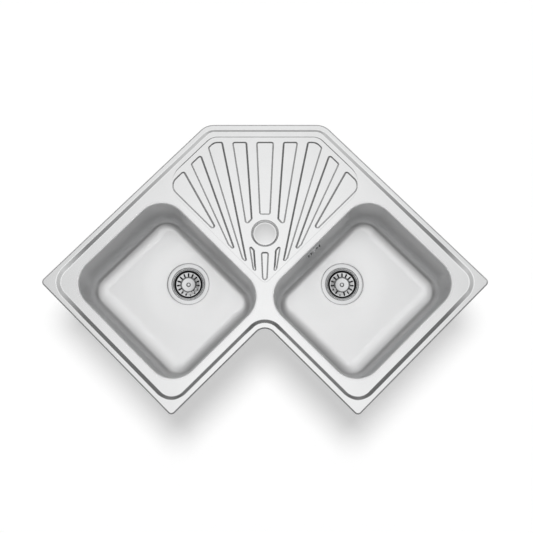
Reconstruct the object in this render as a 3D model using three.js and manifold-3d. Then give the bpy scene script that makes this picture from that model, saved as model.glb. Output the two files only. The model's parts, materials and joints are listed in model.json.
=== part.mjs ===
// Corner kitchen sink: a pressed stainless steel top with two bowls and a fan-shaped drainer between
// them, its two basket wastes, the overflow, the rim seal and the clips that hold it in a worktop.
//
// Millimetres, +Z up. The two walls of the room's corner run along +X and -Y; z = 0 is the worktop,
// and the origin is on the seal, in the middle of the edge that faces the corner.
import * as THREE from 'three';
import { mergeVertices } from 'three/addons/utils/BufferGeometryUtils.js';
import Module from 'manifold-3d';

const wasm = await Module();
wasm.setup();

// ---------------------------------------------------------------- driving dimensions

const GAP = 0.3;                   // left between pieces that touch
const SHEET = 0.8;                 // stainless sheet of the top and the bowls

// bowls: their length runs along the arm and away from the drainer, their width across the arm
const BOWL_LENGTH = 345;
const BOWL_WIDTH = 397;
const BOWL_RADIUS = 72;
const BOWL_WEB = 45.1;             // between the two bowls, corner to corner
const BOWL_TIP_MARGIN = 48;        // from a bowl to the arm's end
const BOWL_WALL_MARGIN = 50.3;     // from a bowl to the wall edge
const BOWL_FRONT_MARGIN = 46;      // from a bowl to the front edge
const BOWL_DEPTH = 155;            // from the top to the floor
const BOWL_FLANGE = 7;             // lap under the top
const BOWL_LIP = { inset: 2.4, drop: 4 };
const BOWL_DRAFT = 10;             // how far the wall leans in
const BOWL_FLOOR_RADIUS = 36;      // fillet between wall and floor

// outline, seen from above
const CORNER_CUT = 223.7;          // cut off each wall at the room's corner
const TIP_RADIUS = 12;
const CORNER_CUT_RADIUS = 49;
const NOTCH_RADIUS = 30;

// pressed top
const RIM_HEIGHT = 6;              // top of the rim above the worktop
const RIM_EDGE_CLEARANCE = 0.6;    // the turned-down edge stops above the worktop
const RIM_BAND = 14;               // flat band round the edge
const STEP_WIDTH = 10;             // slope from the band down to the top
const STEP_DROP = 4;
const STEP_TIP_RADIUS = 50;
const STEP_CORNER_CUT_RADIUS = 44;
const PANEL_DROP = 1;              // the drainer lies lower than the top
const PANEL_SLOPE_WIDTH = 4;
const PANEL_WALL_MARGIN = 32.5;    // from the wall edge to the drainer
const PANEL_CORNER_MARGIN = 32;    // from the corner edge to the drainer
const PANEL_BOWL_MARGIN = 16;      // from a bowl to the drainer
const PANEL_RADII = { corner: 40, side: 62, point: 16 };
const FAN_WALL_MARGIN = 15;        // from the drainer's edge to the fan of channels
const FAN_CORNER_MARGIN = 14.5;
const FAN_BOWL_MARGIN = 7.5;
const FAN_RADIUS = 36;
const CHANNEL_DEPTH = 3;
const CHANNEL_SLOPE_WIDTH = 3.4;
const CHANNEL_END_RADIUS = 5;
const TAP_SEAT_FROM_SIDES = 98.6;  // centre of the round tap seat from the drainer's two sides
const TAP_SEAT_RADIUS = 36;
const TAP_SEAT_FLOOR_RADIUS = 31;
const TAP_SEAT_DEPTH = 6;
const TAP_SEAT_BORDER = 16;        // plain ring left round the tap seat

// Each channel of the fan lies between two rays. A ray is given by its distance from the middle
// line at the fan's back edge and level with the tap seat.
const FAN_RAYS = {
  middle: [22, 11],
  second: [[50, 32], [86.5, 46]],
  third: [[115, 64], [155.7, 79.6]],
  fourth: [[184.5, 95.5], [224.2, 109.7]],
  fifth: [[261.3, 121.9], null],   // its outer side is the fan's own edge
};

// basket waste; radii, and heights below the bowl's floor
const WASTE_SHIFT = 61.5;          // from the bowl's centre towards the drainer
const DISH_FLANGE_RADIUS = 58;
const DISH_SEAT_CLEARANCE = 1.5;
const DISH_SEAT_DROP = 2.4;
const DISH_NECK_RADIUS = 40;
const WASTE_HOLE_CLEARANCE = 5.5;  // the bowl's hole round the dish's neck
const DISH_SUMP_RADIUS = 33;
const DISH_LEDGE_DROP = 18;
const DISH_DEPTH = 34;
const GASKET_THICKNESS = 0.9;
const LOWER_GASKET_THICKNESS = 3;
const DRAIN_HOLES = 6;
const HUB_RADIUS = 11;
const BASKET_PLATE_RADIUS = 34.6;
const BASKET_PLATE_DROP = 7;
const BASKET_DISC_RADIUS = 21;
const BASKET_DISC_DROP = 12;
const BASKET_RIM_DROP = 3.5;
const BASKET_SLOTS = 15;
const BASKET_SLOT = { inner: 21.6, outer: 31.4, width: 4.3 };
const BASKET_TURN = { right: 15, left: 9 };   // degrees, so that both have a slot towards the corner
const BASKET_LIFT_HOLE_RADIUS = 3.4;
const KNOB_RADIUS = 7.5;
const KNOB_HEIGHT = 3.1;
const SEAL_RING_HEIGHT = 4;
const BODY_CUP_CLEARANCE = 0.5;    // the body's cup, inside, round the bowl's hole
const BODY_WALL = 2.6;
const BODY_CUP_DEPTH = 46;
const BODY_DEPTH = 92;
const OUTLET_BORE_RADIUS = 20;
const OUTLET_RADIUS = 23.9;        // pipe thread G 1 1/2
const CLAMP_SCREW_RADIUS = 3;
const CLAMP_SCREW_LENGTH = 22;

// overflow, in the right bowl's wall beside the drainer
const OVERFLOW_DROP = 32;          // its centre below the top
const OVERFLOW_SHIFT = -11;        // its centre from the bowl's middle, across the arm
const OVERFLOW_PLATE = { width: 52, height: 18, thickness: 0.8, screwBar: 10, barHeight: 1.6 };
const OVERFLOW_SLOTS = { places: [-20, -11, 11, 20], width: 4.2, height: 12 };
const OVERFLOW_OPENING = { width: 46, height: 14 };
const OVERFLOW_GASKET_THICKNESS = 2;
const OVERFLOW_HOUSING = { width: 58, height: 26, depth: 22, wall: 2.4 };
const OVERFLOW_SCREW_RADIUS = 2;
const PIPE_RADIUS = 8.6;
const PIPE_WALL = 1.6;
const SOCKET_WALL = 2;
const SOCKET_LENGTH = 14;
const PIPE_ENTRY = 9;              // how far the pipe goes into each socket
const PIPE_BEND_RADIUS = 26;
const PORT_DROP = 26;              // the waste body's side port below the bowl's floor
const PIPE_NUT = { radius: 12.4, length: 10 };

// foam seal under the rim
const SEAL_FROM_EDGE = 1.4;
const SEAL_WIDTH = 11;

// clips; x is measured inwards from the edge, y along it
const CLIP_SCREW_FROM_EDGE = 20.5;
const CLIP_SCREW_RADIUS = 2.5;
const CLIP_SCREW_END_HEIGHT = -66;
const CLIP_PLATE_FROM_EDGE = 26.3;
const CLIP_STEEL = 1.5;
const CLIP_WIDTH = 28;
const CLIP_FOOT_HEIGHT = -20;      // top of the foot that carries the screw
const CLIP_FOOT_REACH = 8;         // the foot beyond the screw, towards the edge
const CLAW_HEIGHT = -50;           // underside of the claw when parked
const CLAW_THICKNESS = 2.5;
const CLAW_REACH = 18;
const CLAW_HUB_RADIUS = 5.2;
const CLAW_TIP = { thickness: 2, height: 8 };
const CLIP_FROM_CORNER_CUT = 126;  // along a wall edge, to its first clip
const CLIP_FROM_TIP = 140;         // along a wall edge, from its second clip

const ROUND_STEPS = 30;            // facets round a waste
const SCREW_STEPS = 12;
const PIPE_STEPS = 22;

// ---------------------------------------------------------------- derived sizes

const TOP = RIM_HEIGHT - STEP_DROP;
const PANEL = TOP - PANEL_DROP;
const TOP_UNDERSIDE = TOP - SHEET;
const BOWL_TOP = TOP_UNDERSIDE - GAP;
const FLOOR = TOP - BOWL_DEPTH;
const WASTE_HOLE_RADIUS = DISH_NECK_RADIUS + WASTE_HOLE_CLEARANCE;
const BODY_CUP_RADIUS = WASTE_HOLE_RADIUS + BODY_CUP_CLEARANCE;
const DISH_SEAT_RADIUS = DISH_FLANGE_RADIUS + DISH_SEAT_CLEARANCE;
const BOWL_FRONT = BOWL_WALL_MARGIN + BOWL_WIDTH;
const BOWL_NEAR = BOWL_FRONT - 2 * BOWL_RADIUS + (BOWL_WEB + 2 * BOWL_RADIUS) / Math.SQRT2;
const ARM_DEPTH = BOWL_FRONT + BOWL_FRONT_MARGIN;                // from the wall to the front
const ARM_LENGTH = BOWL_NEAR + BOWL_LENGTH + BOWL_TIP_MARGIN;    // from the room's corner
const BOWL_ALONG = BOWL_NEAR + BOWL_LENGTH / 2;
const BOWL_ACROSS = BOWL_WALL_MARGIN + BOWL_WIDTH / 2;
const PANEL_INNER = BOWL_NEAR - PANEL_BOWL_MARGIN;
const TAP_SEAT_FROM_EDGES = PANEL_INNER - TAP_SEAT_FROM_SIDES;
const SEAL_MIDDLE = SEAL_FROM_EDGE + SEAL_WIDTH / 2;
const ORIGIN = CORNER_CUT / 2 + SEAL_MIDDLE / Math.SQRT2;

// ---------------------------------------------------------------- finishes

const finish = (name, color, metalness, roughness) => () => {
  const material = new THREE.MeshStandardMaterial({ color, metalness, roughness });
  material.name = name;
  return material;
};
const satinSteel = finish('satin_steel', 0xd4d5d6, 1, 0.32);
const polishedSteel = finish('polished_steel', 0xdcdddf, 1, 0.16);
const zincSteel = finish('zinc_steel', 0xb4b8bc, 1, 0.45);
const blackRubber = finish('black_rubber', 0x1c1c1d, 0, 0.8);
const greyFoam = finish('grey_foam', 0x4d4f52, 0, 0.95);
const whitePlastic = finish('white_plastic', 0xe9e9e6, 0, 0.42);

// ---------------------------------------------------------------- outlines

const at = (x, y) => new THREE.Vector2(x, y);

// A closed outline with each corner rounded; corners run anticlockwise.
function rounded(corners, radii, steps = 6) {
  const points = [];
  corners.forEach((corner, i) => {
    const before = corners[(i + corners.length - 1) % corners.length].clone().sub(corner);
    const after = corners[(i + 1) % corners.length].clone().sub(corner);
    const half = before.angleTo(after) / 2;
    const longest = 0.49 * Math.min(before.length(), after.length()) * Math.tan(half);
    const radius = Math.min(radii[i], longest);
    const middle = before.clone().normalize().add(after.clone().normalize()).normalize();
    const centre = corner.clone().addScaledVector(middle, radius / Math.sin(half));
    const reach = radius / Math.tan(half);
    const start = corner.clone().addScaledVector(before.normalize(), reach).sub(centre);
    const end = corner.clone().addScaledVector(after.normalize(), reach).sub(centre);
    let sweep = end.angle() - start.angle();
    if (sweep > Math.PI) sweep -= 2 * Math.PI;
    if (sweep < -Math.PI) sweep += 2 * Math.PI;
    for (let step = 0; step <= steps; step++) {
      points.push(start.clone().rotateAround(at(0, 0), (sweep * step) / steps).add(centre));
    }
  });
  return points;
}

// The same corners with every edge moved inwards.
function inset(corners, distance) {
  const lines = corners.map((corner, i) => {
    const along = corners[(i + 1) % corners.length].clone().sub(corner).normalize();
    const inwards = at(-along.y, along.x);
    return { point: corner.clone().addScaledVector(inwards, distance), along };
  });
  return corners.map((_, i) => {
    const a = lines[(i + lines.length - 1) % lines.length];
    const b = lines[i];
    const offset = b.point.clone().sub(a.point).cross(b.along) / a.along.cross(b.along);
    return a.point.clone().addScaledVector(a.along, offset);
  });
}

const OUTLINE = [
  at(0, -CORNER_CUT), at(0, -ARM_LENGTH), at(ARM_DEPTH, -ARM_LENGTH), at(ARM_DEPTH, -ARM_DEPTH),
  at(ARM_LENGTH, -ARM_DEPTH), at(ARM_LENGTH, 0), at(CORNER_CUT, 0),
];

// The rim's outline moved inwards: round the corner cut and the tips the radius shrinks, and round
// the notch it grows.
function rimOutline(distance, tip = TIP_RADIUS, cut = CORNER_CUT_RADIUS, notch = NOTCH_RADIUS) {
  const least = 1;
  const tips = Math.max(tip - distance, least);
  const cuts = Math.max(cut - distance, least);
  const radii = [cuts, tips, tips, notch + distance, tips, tips, cuts];
  return rounded(inset(OUTLINE, distance), radii);
}

function stepOutline(distance) {
  const tip = STEP_TIP_RADIUS + RIM_BAND;
  return rimOutline(distance, tip, STEP_CORNER_CUT_RADIUS + RIM_BAND);
}

// The drainer panel: a square in the corner between the bowls, with the room's corner cut off.
function panelOutline(distance) {
  const near = PANEL_WALL_MARGIN;
  const cut = CORNER_CUT + PANEL_CORNER_MARGIN * Math.SQRT2 - near;
  const { corner, side, point } = PANEL_RADII;
  const corners = [
    at(near, -cut), at(near, -PANEL_INNER), at(PANEL_INNER, -PANEL_INNER), at(PANEL_INNER, -near),
    at(cut, -near),
  ];
  return rounded(inset(corners, distance), [corner, side, point, side, corner].map(r => r - distance));
}

function rectangle(length, width, radius, distance, steps = 7) {
  const x = length / 2;
  const y = width / 2;
  const corners = [at(-x, -y), at(x, -y), at(x, y), at(-x, y)];
  return rounded(inset(corners, distance), corners.map(() => radius - distance), steps);
}

const circle = (radius, steps = ROUND_STEPS) => Array.from({ length: steps }, (_, i) => {
  const angle = (2 * Math.PI * i) / steps;
  return at(radius * Math.cos(angle), radius * Math.sin(angle));
});

const moved = (points, x, y) => points.map(point => at(point.x + x, point.y + y));

// ---------------------------------------------------------------- solids

// Triangles over one end. The triangulation drops points that are almost in line, which would leave
// a gap; an end where it does so is convex here and is covered from its first point instead.
function cap(points) {
  const triangles = THREE.ShapeUtils.triangulateShape(points, []);
  if (triangles.length === points.length - 2) return triangles;
  return points.slice(2).map((_, i) => [0, i + 1, i + 2]);
}

// A closed body through outlines with the same number of points, from the lowest to the highest.
function loft(levels) {
  const count = levels[0].points.length;
  const positions = levels.flatMap(({ points, z }) => points.flatMap(point => [point.x, point.y, z]));
  const faces = [];
  for (let level = 0; level + 1 < levels.length; level++) {
    for (let i = 0; i < count; i++) {
      const a = level * count + i;
      const b = level * count + ((i + 1) % count);
      faces.push(a, b, b + count, a, b + count, a + count);
    }
  }
  const last = (levels.length - 1) * count;
  for (const [a, b, c] of cap(levels[0].points)) faces.push(a, c, b);
  for (const [a, b, c] of cap(levels.at(-1).points)) faces.push(last + a, last + b, last + c);
  const geometry = new THREE.BufferGeometry();
  geometry.setAttribute('position', new THREE.Float32BufferAttribute(positions, 3));
  geometry.setIndex(faces);
  return geometry;
}

const slab = (points, low, high) => loft([{ points, z: low }, { points, z: high }]);

function box(x0, x1, y0, y1, z0, z1) {
  const geometry = new THREE.BoxGeometry(x1 - x0, y1 - y0, z1 - z0);
  return geometry.translate((x0 + x1) / 2, (y0 + y1) / 2, (z0 + z1) / 2);
}

// A turned body about Z; the profile is a closed list of [radius, height].
function turned(profile, steps = ROUND_STEPS) {
  const points = [...profile, profile[0]].map(([radius, height]) => at(radius, height));
  const geometry = new THREE.LatheGeometry(points, steps);
  return geometry.rotateX(Math.PI / 2);
}

// A plain ring or, with no bore, a disc.
const ring = (outer, bore, low, high, steps = ROUND_STEPS) =>
  turned([[bore, low], [outer, low], [outer, high], [bore, high]], steps);

// three.js geometry to and from a solid that can be joined and cut
function solid(geometry) {
  const bare = geometry.clone();
  bare.deleteAttribute('normal');
  bare.deleteAttribute('uv');
  const merged = mergeVertices(bare, 1e-4);
  const corners = merged.index.array;
  const kept = [];
  for (let i = 0; i < corners.length; i += 3) {
    const [a, b, c] = corners.slice(i, i + 3);
    if (a !== b && b !== c && c !== a) kept.push(a, b, c);
  }
  const make = triangles => new wasm.Manifold(new wasm.Mesh({
    numProp: 3,
    vertProperties: new Float32Array(merged.attributes.position.array),
    triVerts: new Uint32Array(triangles),
  }));
  const body = make(kept);
  if (body.volume() > 0) return body;
  return make(kept.reverse());
}

function geometryOf(body) {
  const mesh = body.getMesh();
  const geometry = new THREE.BufferGeometry();
  geometry.setAttribute('position', new THREE.Float32BufferAttribute(mesh.vertProperties, 3));
  geometry.setIndex(Array.from(mesh.triVerts));
  geometry.computeVertexNormals();
  return geometry;
}

const joined = (...geometries) => geometries.map(solid).reduce((whole, piece) => whole.add(piece));
const cut = (body, ...geometries) =>
  geometries.reduce((whole, geometry) => whole.subtract(solid(geometry)), body);

function piece(name, body, material) {
  const mesh = new THREE.Mesh(geometryOf(body), material());
  mesh.name = name;
  return mesh;
}

function placed(x, y, z, turn, children) {
  const group = new THREE.Group();
  group.position.set(x, y, z);
  group.rotation.z = turn;
  group.add(...children);
  return group;
}

// ---------------------------------------------------------------- pressed top

// Coordinates of the fan: s runs across it and t from the room's corner along the middle line.
const fromFan = (s, t) => at((s + t) / Math.SQRT2, (s - t) / Math.SQRT2);

// The part of a convex outline on the left of the line from a to b.
function clipped(corners, a, b) {
  const side = point => b.clone().sub(a).cross(point.clone().sub(a));
  return corners.flatMap((corner, i) => {
    const next = corners[(i + 1) % corners.length];
    const here = side(corner);
    const there = side(next);
    const kept = here >= 0 ? [corner] : [];
    if (here * there < 0) kept.push(corner.clone().lerp(next, here / (here - there)));
    return kept;
  });
}

const PANEL_NEAR = PANEL_WALL_MARGIN + PANEL_SLOPE_WIDTH / 2;
const PANEL_FAR = PANEL_INNER - PANEL_SLOPE_WIDTH / 2;
const FAN_NEAR = PANEL_NEAR + FAN_WALL_MARGIN;
const FAN_FAR = PANEL_FAR - FAN_BOWL_MARGIN;
const FAN_BACK = CORNER_CUT / Math.SQRT2 + PANEL_CORNER_MARGIN + PANEL_SLOPE_WIDTH / 2
  + FAN_CORNER_MARGIN;
const TAP_LEVEL = TAP_SEAT_FROM_EDGES * Math.SQRT2;
const TAP_BORDER_RADIUS = TAP_SEAT_RADIUS + TAP_SEAT_BORDER;

// One channel, as corners, between two rays; "beyond" keeps the part in front of the tap seat.
function channelCorners(inner, outer, beyond) {
  const near = FAN_NEAR;
  const far = FAN_FAR;
  const back = FAN_BACK * Math.SQRT2 - near;
  const fan = [at(near, -back), at(near, -far), at(far, -far), at(far, -near), at(back, -near)];
  const ray = ([start, end]) => {
    const slope = (start - end) / (TAP_LEVEL - FAN_BACK);
    const place = t => fromFan(start - slope * (t - FAN_BACK), t);
    return [place(0), place(2 * TAP_LEVEL)];
  };
  let corners = clipped(fan, ...ray(inner));
  if (outer) corners = clipped(corners, ...ray(outer).reverse());
  // square to the channel, where it meets the plain ring round the tap seat
  const middle = outer ? (inner[1] + outer[1]) / 2 : TAP_BORDER_RADIUS;
  if (Math.abs(middle) < TAP_BORDER_RADIUS) {
    const across = Math.sqrt(TAP_BORDER_RADIUS ** 2 - middle ** 2);
    const touch = at(middle, beyond ? across : -across);
    const along = at(-touch.y, touch.x).setLength(FAN_FAR);
    const fromTap = point => fromFan(point.x, TAP_LEVEL + point.y);
    corners = clipped(corners, fromTap(touch.clone().sub(along)), fromTap(touch.clone().add(along)));
  }
  // corners nearer than the slope's width are one corner
  return corners.filter((corner, i) =>
    corner.distanceTo(corners[(i + 1) % corners.length]) > CHANNEL_SLOPE_WIDTH);
}

// The fan's own corners are wide; the channels' ends are tight.
function channelOutline(corners, grow) {
  const radii = corners.map(({ x, y }) => {
    const onNear = Math.min(x, -y) < FAN_NEAR + 1e-6;
    const onFar = Math.max(x, -y) > FAN_FAR - 1e-6;
    const onBack = (x - y) / Math.SQRT2 < FAN_BACK + 1e-6;
    return (onNear && (onFar || onBack) ? FAN_RADIUS : CHANNEL_END_RADIUS) + grow;
  });
  return rounded(inset(corners, -grow), radii, 3);
}

function channel(inner, outer, beyond, drop) {
  const corners = channelCorners(inner, outer, beyond);
  const above = 2;
  const slope = channelOutline(corners, CHANNEL_SLOPE_WIDTH / 2);
  return loft([
    { points: channelOutline(corners, -CHANNEL_SLOPE_WIDTH / 2), z: PANEL - CHANNEL_DEPTH - drop },
    { points: slope, z: PANEL - drop },
    { points: slope, z: PANEL - drop + above },
  ]);
}

function channels(drop) {
  const mirrored = ray => ray && ray.map(distance => -distance);
  const list = [channel(mirrored(FAN_RAYS.middle), FAN_RAYS.middle, false, drop)];
  list.push(channel(mirrored(FAN_RAYS.middle), FAN_RAYS.middle, true, drop));
  for (const name of ['second', 'third', 'fourth', 'fifth']) {
    const [inner, outer] = FAN_RAYS[name];
    for (const beyond of name === 'second' ? [false, true] : [false]) {
      const right = channel(inner, outer, beyond, drop);
      list.push(right, mirrorAcrossFan(right));
    }
  }
  return list;
}

// Swaps the two arms: (x, y) becomes (-y, -x), and the faces are turned back to point outwards.
function mirrorAcrossFan(geometry) {
  const copy = geometry.clone();
  const positions = copy.attributes.position;
  for (let i = 0; i < positions.count; i++) {
    positions.setXY(i, -positions.getY(i), -positions.getX(i));
  }
  copy.setIndex(Array.from(copy.index.array).reverse());
  return copy;
}

// Everything pressed down into the top, as bodies to be cut away; drop moves them down.
function pressings(drop) {
  const above = RIM_HEIGHT + 5;
  const step = loft([
    { points: stepOutline(RIM_BAND + STEP_WIDTH), z: TOP - drop },
    { points: stepOutline(RIM_BAND), z: RIM_HEIGHT - drop },
    { points: stepOutline(RIM_BAND), z: above },
  ]);
  const panel = loft([
    { points: panelOutline(PANEL_SLOPE_WIDTH), z: PANEL - drop },
    { points: panelOutline(0), z: TOP - drop },
    { points: panelOutline(0), z: TOP - drop + 1 },
  ]);
  const seat = loft([
    { points: circle(TAP_SEAT_FLOOR_RADIUS), z: PANEL - TAP_SEAT_DEPTH - drop },
    { points: circle(TAP_SEAT_RADIUS), z: PANEL - drop },
    { points: circle(TAP_SEAT_RADIUS), z: PANEL - drop + 1 },
  ]).translate(TAP_SEAT_FROM_EDGES, -TAP_SEAT_FROM_EDGES, 0);
  return [step, panel, seat, ...channels(drop)];
}

const bowlOpening = (low, high) =>
  slab(rectangle(BOWL_LENGTH, BOWL_WIDTH, BOWL_RADIUS, 0), low, high);

function deck() {
  const deep = PANEL - Math.max(TAP_SEAT_DEPTH, CHANNEL_DEPTH) - 10;
  const upper = cut(solid(slab(rimOutline(0), deep, RIM_HEIGHT)), ...pressings(0));
  const lower = cut(
    solid(slab(rimOutline(SHEET), deep - 1, RIM_HEIGHT - SHEET)), ...pressings(SHEET));
  const edge = cut(
    solid(slab(rimOutline(-5), deep - 1, RIM_EDGE_CLEARANCE)),
    slab(rimOutline(SHEET + 1), deep - 2, RIM_EDGE_CLEARANCE + 1));
  const right = bowlOpening(deep, RIM_HEIGHT).translate(BOWL_ALONG, -BOWL_ACROSS, 0);
  return cut(upper.subtract(lower).subtract(edge), right, mirrorAcrossFan(right));
}

// ---------------------------------------------------------------- bowls

// The wall's slope, below the lip, leans in towards the floor.
const WALL_END = FLOOR + BOWL_FLOOR_RADIUS;
const WALL_TILT = Math.atan(
  (BOWL_DRAFT - BOWL_LIP.inset) / (BOWL_TOP - BOWL_LIP.drop - WALL_END));
const wallInset = z =>
  BOWL_LIP.inset + (BOWL_TOP - BOWL_LIP.drop - z) * Math.tan(WALL_TILT);

// Half the section of the bowl, moved outwards by the sheet's thickness for its outer face.
function bowlLevels(out) {
  const level = (distance, z) => ({
    points: rectangle(BOWL_LENGTH, BOWL_WIDTH, BOWL_RADIUS, distance - out),
    z,
  });
  const fillet = [90, 66, 44, 22, 0].map(angle => {
    const turn = THREE.MathUtils.degToRad(angle);
    const across = BOWL_DRAFT + BOWL_FLOOR_RADIUS - (BOWL_FLOOR_RADIUS + out) * Math.cos(turn);
    const height = WALL_END - (BOWL_FLOOR_RADIUS + out) * Math.sin(turn);
    return level(across + out, height);
  });
  return [...fillet, level(BOWL_LIP.inset, BOWL_TOP - BOWL_LIP.drop)];
}

function bowl(withOverflow) {
  const flange = slab(
    rectangle(BOWL_LENGTH, BOWL_WIDTH, BOWL_RADIUS, -BOWL_FLANGE), BOWL_TOP - SHEET, BOWL_TOP);
  const top = (distance, z) => ({
    points: rectangle(BOWL_LENGTH, BOWL_WIDTH, BOWL_RADIUS, distance),
    z,
  });
  const outside = loft([...bowlLevels(SHEET), top(-SHEET, BOWL_TOP)]);
  const inside = loft([...bowlLevels(0), top(0, BOWL_TOP), top(0, BOWL_TOP + 1)]);
  const waste = geometry => geometry.translate(-WASTE_SHIFT, 0, 0);
  const seat = FLOOR - DISH_SEAT_DROP;
  const seatSkirt = waste(slab(circle(DISH_SEAT_RADIUS + SHEET), seat - SHEET, FLOOR));
  let body = joined(flange, outside, seatSkirt);
  body = cut(
    body, inside, waste(slab(circle(DISH_SEAT_RADIUS), seat, FLOOR + 1)),
    waste(slab(circle(WASTE_HOLE_RADIUS), seat - 5, FLOOR + 1)));
  if (withOverflow) body = cut(body, toOverflowWall(overflowOpening()));
  return body;
}

// ---------------------------------------------------------------- basket waste

const DISH_UNDERSIDE = FLOOR - DISH_SEAT_DROP + 2 * GAP + GASKET_THICKNESS;
const DISH_TOP = DISH_UNDERSIDE + SHEET;
const BODY_TOP = FLOOR - DISH_SEAT_DROP - SHEET - 2 * GAP - LOWER_GASKET_THICKNESS;
const BASKET_SKIRT_END = FLOOR - DISH_LEDGE_DROP + GAP + SEAL_RING_HEIGHT + GAP;
const BASKET_RIM_RADIUS = DISH_NECK_RADIUS - 1.2;
const SOCKET_BORE = PIPE_RADIUS + GAP;
const SOCKET_OUTER = SOCKET_BORE + SOCKET_WALL;
const PORT_HEIGHT = FLOOR - PORT_DROP;
const alongX = geometry => geometry.rotateY(-Math.PI / 2).translate(0, 0, PORT_HEIGHT);

function dish() {
  const r = DISH_NECK_RADIUS;
  const ledge = FLOOR - DISH_LEDGE_DROP;
  const bottom = FLOOR - DISH_DEPTH;
  const shell = turned([
    [CLAMP_SCREW_RADIUS + GAP, bottom], [DISH_SUMP_RADIUS, bottom], [DISH_SUMP_RADIUS, ledge],
    [r, ledge], [r, FLOOR - 7.5], [r + 1, FLOOR - 6], [r + 4, FLOOR - 1.8], [r + 6.5, DISH_TOP],
    [DISH_FLANGE_RADIUS, DISH_TOP], [DISH_FLANGE_RADIUS, DISH_UNDERSIDE],
    [r + 5, DISH_UNDERSIDE], [r + 4, FLOOR - 3.6], [r + SHEET, FLOOR - 8],
    [r + SHEET, ledge - SHEET], [DISH_SUMP_RADIUS + SHEET, ledge - SHEET],
    [DISH_SUMP_RADIUS + SHEET, bottom - SHEET], [CLAMP_SCREW_RADIUS + GAP, bottom - SHEET],
  ]);
  const holes = Array.from({ length: DRAIN_HOLES }, (_, i) => {
    const reach = (DISH_SUMP_RADIUS - HUB_RADIUS) / 2;
    const hole = slab(circle(reach * 0.72, 8), bottom - 2, bottom + 1);
    const turn = (2 * Math.PI * i) / DRAIN_HOLES + Math.PI / ROUND_STEPS;
    return hole.translate(HUB_RADIUS + reach, 0, 0).rotateZ(turn);
  });
  return cut(solid(shell), ...holes);
}

function basket(turn) {
  const rim = FLOOR - BASKET_RIM_DROP;
  const plate = FLOOR - BASKET_PLATE_DROP;
  const disc = FLOOR - BASKET_DISC_DROP;
  const slotEdge = BASKET_SLOT.outer + 1;
  const skirt = BASKET_PLATE_RADIUS + SHEET;
  const shell = turned([
    [BASKET_LIFT_HOLE_RADIUS, disc], [BASKET_LIFT_HOLE_RADIUS, disc - SHEET],
    [BASKET_DISC_RADIUS, disc - SHEET], [slotEdge, plate - SHEET - 0.4],
    [BASKET_PLATE_RADIUS, plate - SHEET], [BASKET_PLATE_RADIUS, BASKET_SKIRT_END],
    [skirt, BASKET_SKIRT_END], [skirt, plate - 0.4], [BASKET_RIM_RADIUS - 1, rim - SHEET],
    [BASKET_RIM_RADIUS, rim - SHEET], [BASKET_RIM_RADIUS, rim], [BASKET_RIM_RADIUS - 1.4, rim],
    [BASKET_PLATE_RADIUS, plate], [slotEdge, plate - 0.4], [BASKET_DISC_RADIUS, disc],
  ]);
  const { inner, outer, width } = BASKET_SLOT;
  const slots = Array.from({ length: BASKET_SLOTS }, (_, i) => {
    const slot = box(inner, outer, -width / 2, width / 2, disc - 3, plate + 1);
    return slot.rotateZ((2 * Math.PI * i) / BASKET_SLOTS + THREE.MathUtils.degToRad(turn));
  });
  return cut(solid(shell), ...slots);
}

function basketSeal() {
  const low = FLOOR - DISH_LEDGE_DROP + GAP;
  return solid(ring(BASKET_RIM_RADIUS - 0.6, BASKET_PLATE_RADIUS - 2, low, low + SEAL_RING_HEIGHT));
}

function knob() {
  const disc = FLOOR - BASKET_DISC_DROP;
  const low = disc + GAP;
  const high = low + KNOB_HEIGHT;
  const stem = BASKET_LIFT_HOLE_RADIUS - GAP;
  const clench = disc - SHEET - GAP;
  return solid(turned([
    [0, high], [0, clench - 1.5], [stem + 2, clench - 1.5], [stem + 2, clench], [stem, clench],
    [stem, low], [KNOB_RADIUS, low], [KNOB_RADIUS, high - 1.2], [KNOB_RADIUS * 0.6, high],
  ], 20));
}

function wasteBody(withPort) {
  const wall = BODY_CUP_RADIUS + BODY_WALL;
  const cup = FLOOR - BODY_CUP_DEPTH;
  const end = FLOOR - BODY_DEPTH;
  const shell = turned([
    [BODY_CUP_RADIUS, BODY_TOP], [BODY_CUP_RADIUS, cup], [OUTLET_BORE_RADIUS, cup - 8],
    [OUTLET_BORE_RADIUS, end], [OUTLET_RADIUS, end], [OUTLET_RADIUS, cup - 12], [wall, cup - 3],
    [wall, BODY_TOP - 3], [DISH_FLANGE_RADIUS, BODY_TOP - 3], [DISH_FLANGE_RADIUS, BODY_TOP],
  ]);
  const bossTop = FLOOR - DISH_DEPTH - SHEET - GAP;
  const boss = ring(CLAMP_SCREW_RADIUS + 4, CLAMP_SCREW_RADIUS + GAP, cup - 4, bossTop, 16);
  const ribs = [0, 1, 2].map(i => box(
    CLAMP_SCREW_RADIUS + 3, wall - 1, -1.5, 1.5, cup - 1, bossTop - 2,
  ).rotateZ((2 * Math.PI * i) / 3 + Math.PI / 6));
  let body = joined(shell, boss, ...ribs);
  if (withPort) {
    const reach = wall + SOCKET_LENGTH;
    const socket = alongX(ring(SOCKET_OUTER, 0, BODY_CUP_RADIUS + 1, reach, 16));
    const bore = alongX(ring(SOCKET_BORE, 0, BODY_CUP_RADIUS - 3, reach + 1, 16));
    body = cut(body.add(solid(socket)), bore);
  }
  return body;
}

function clampScrew() {
  const low = FLOOR - DISH_DEPTH + GAP;
  const head = CLAMP_SCREW_RADIUS + 4;
  return solid(turned([
    [0, low + 3], [0, low - CLAMP_SCREW_LENGTH], [CLAMP_SCREW_RADIUS, low - CLAMP_SCREW_LENGTH],
    [CLAMP_SCREW_RADIUS, low], [head, low], [head, low + 2], [head - 1.5, low + 3],
  ], SCREW_STEPS));
}

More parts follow.
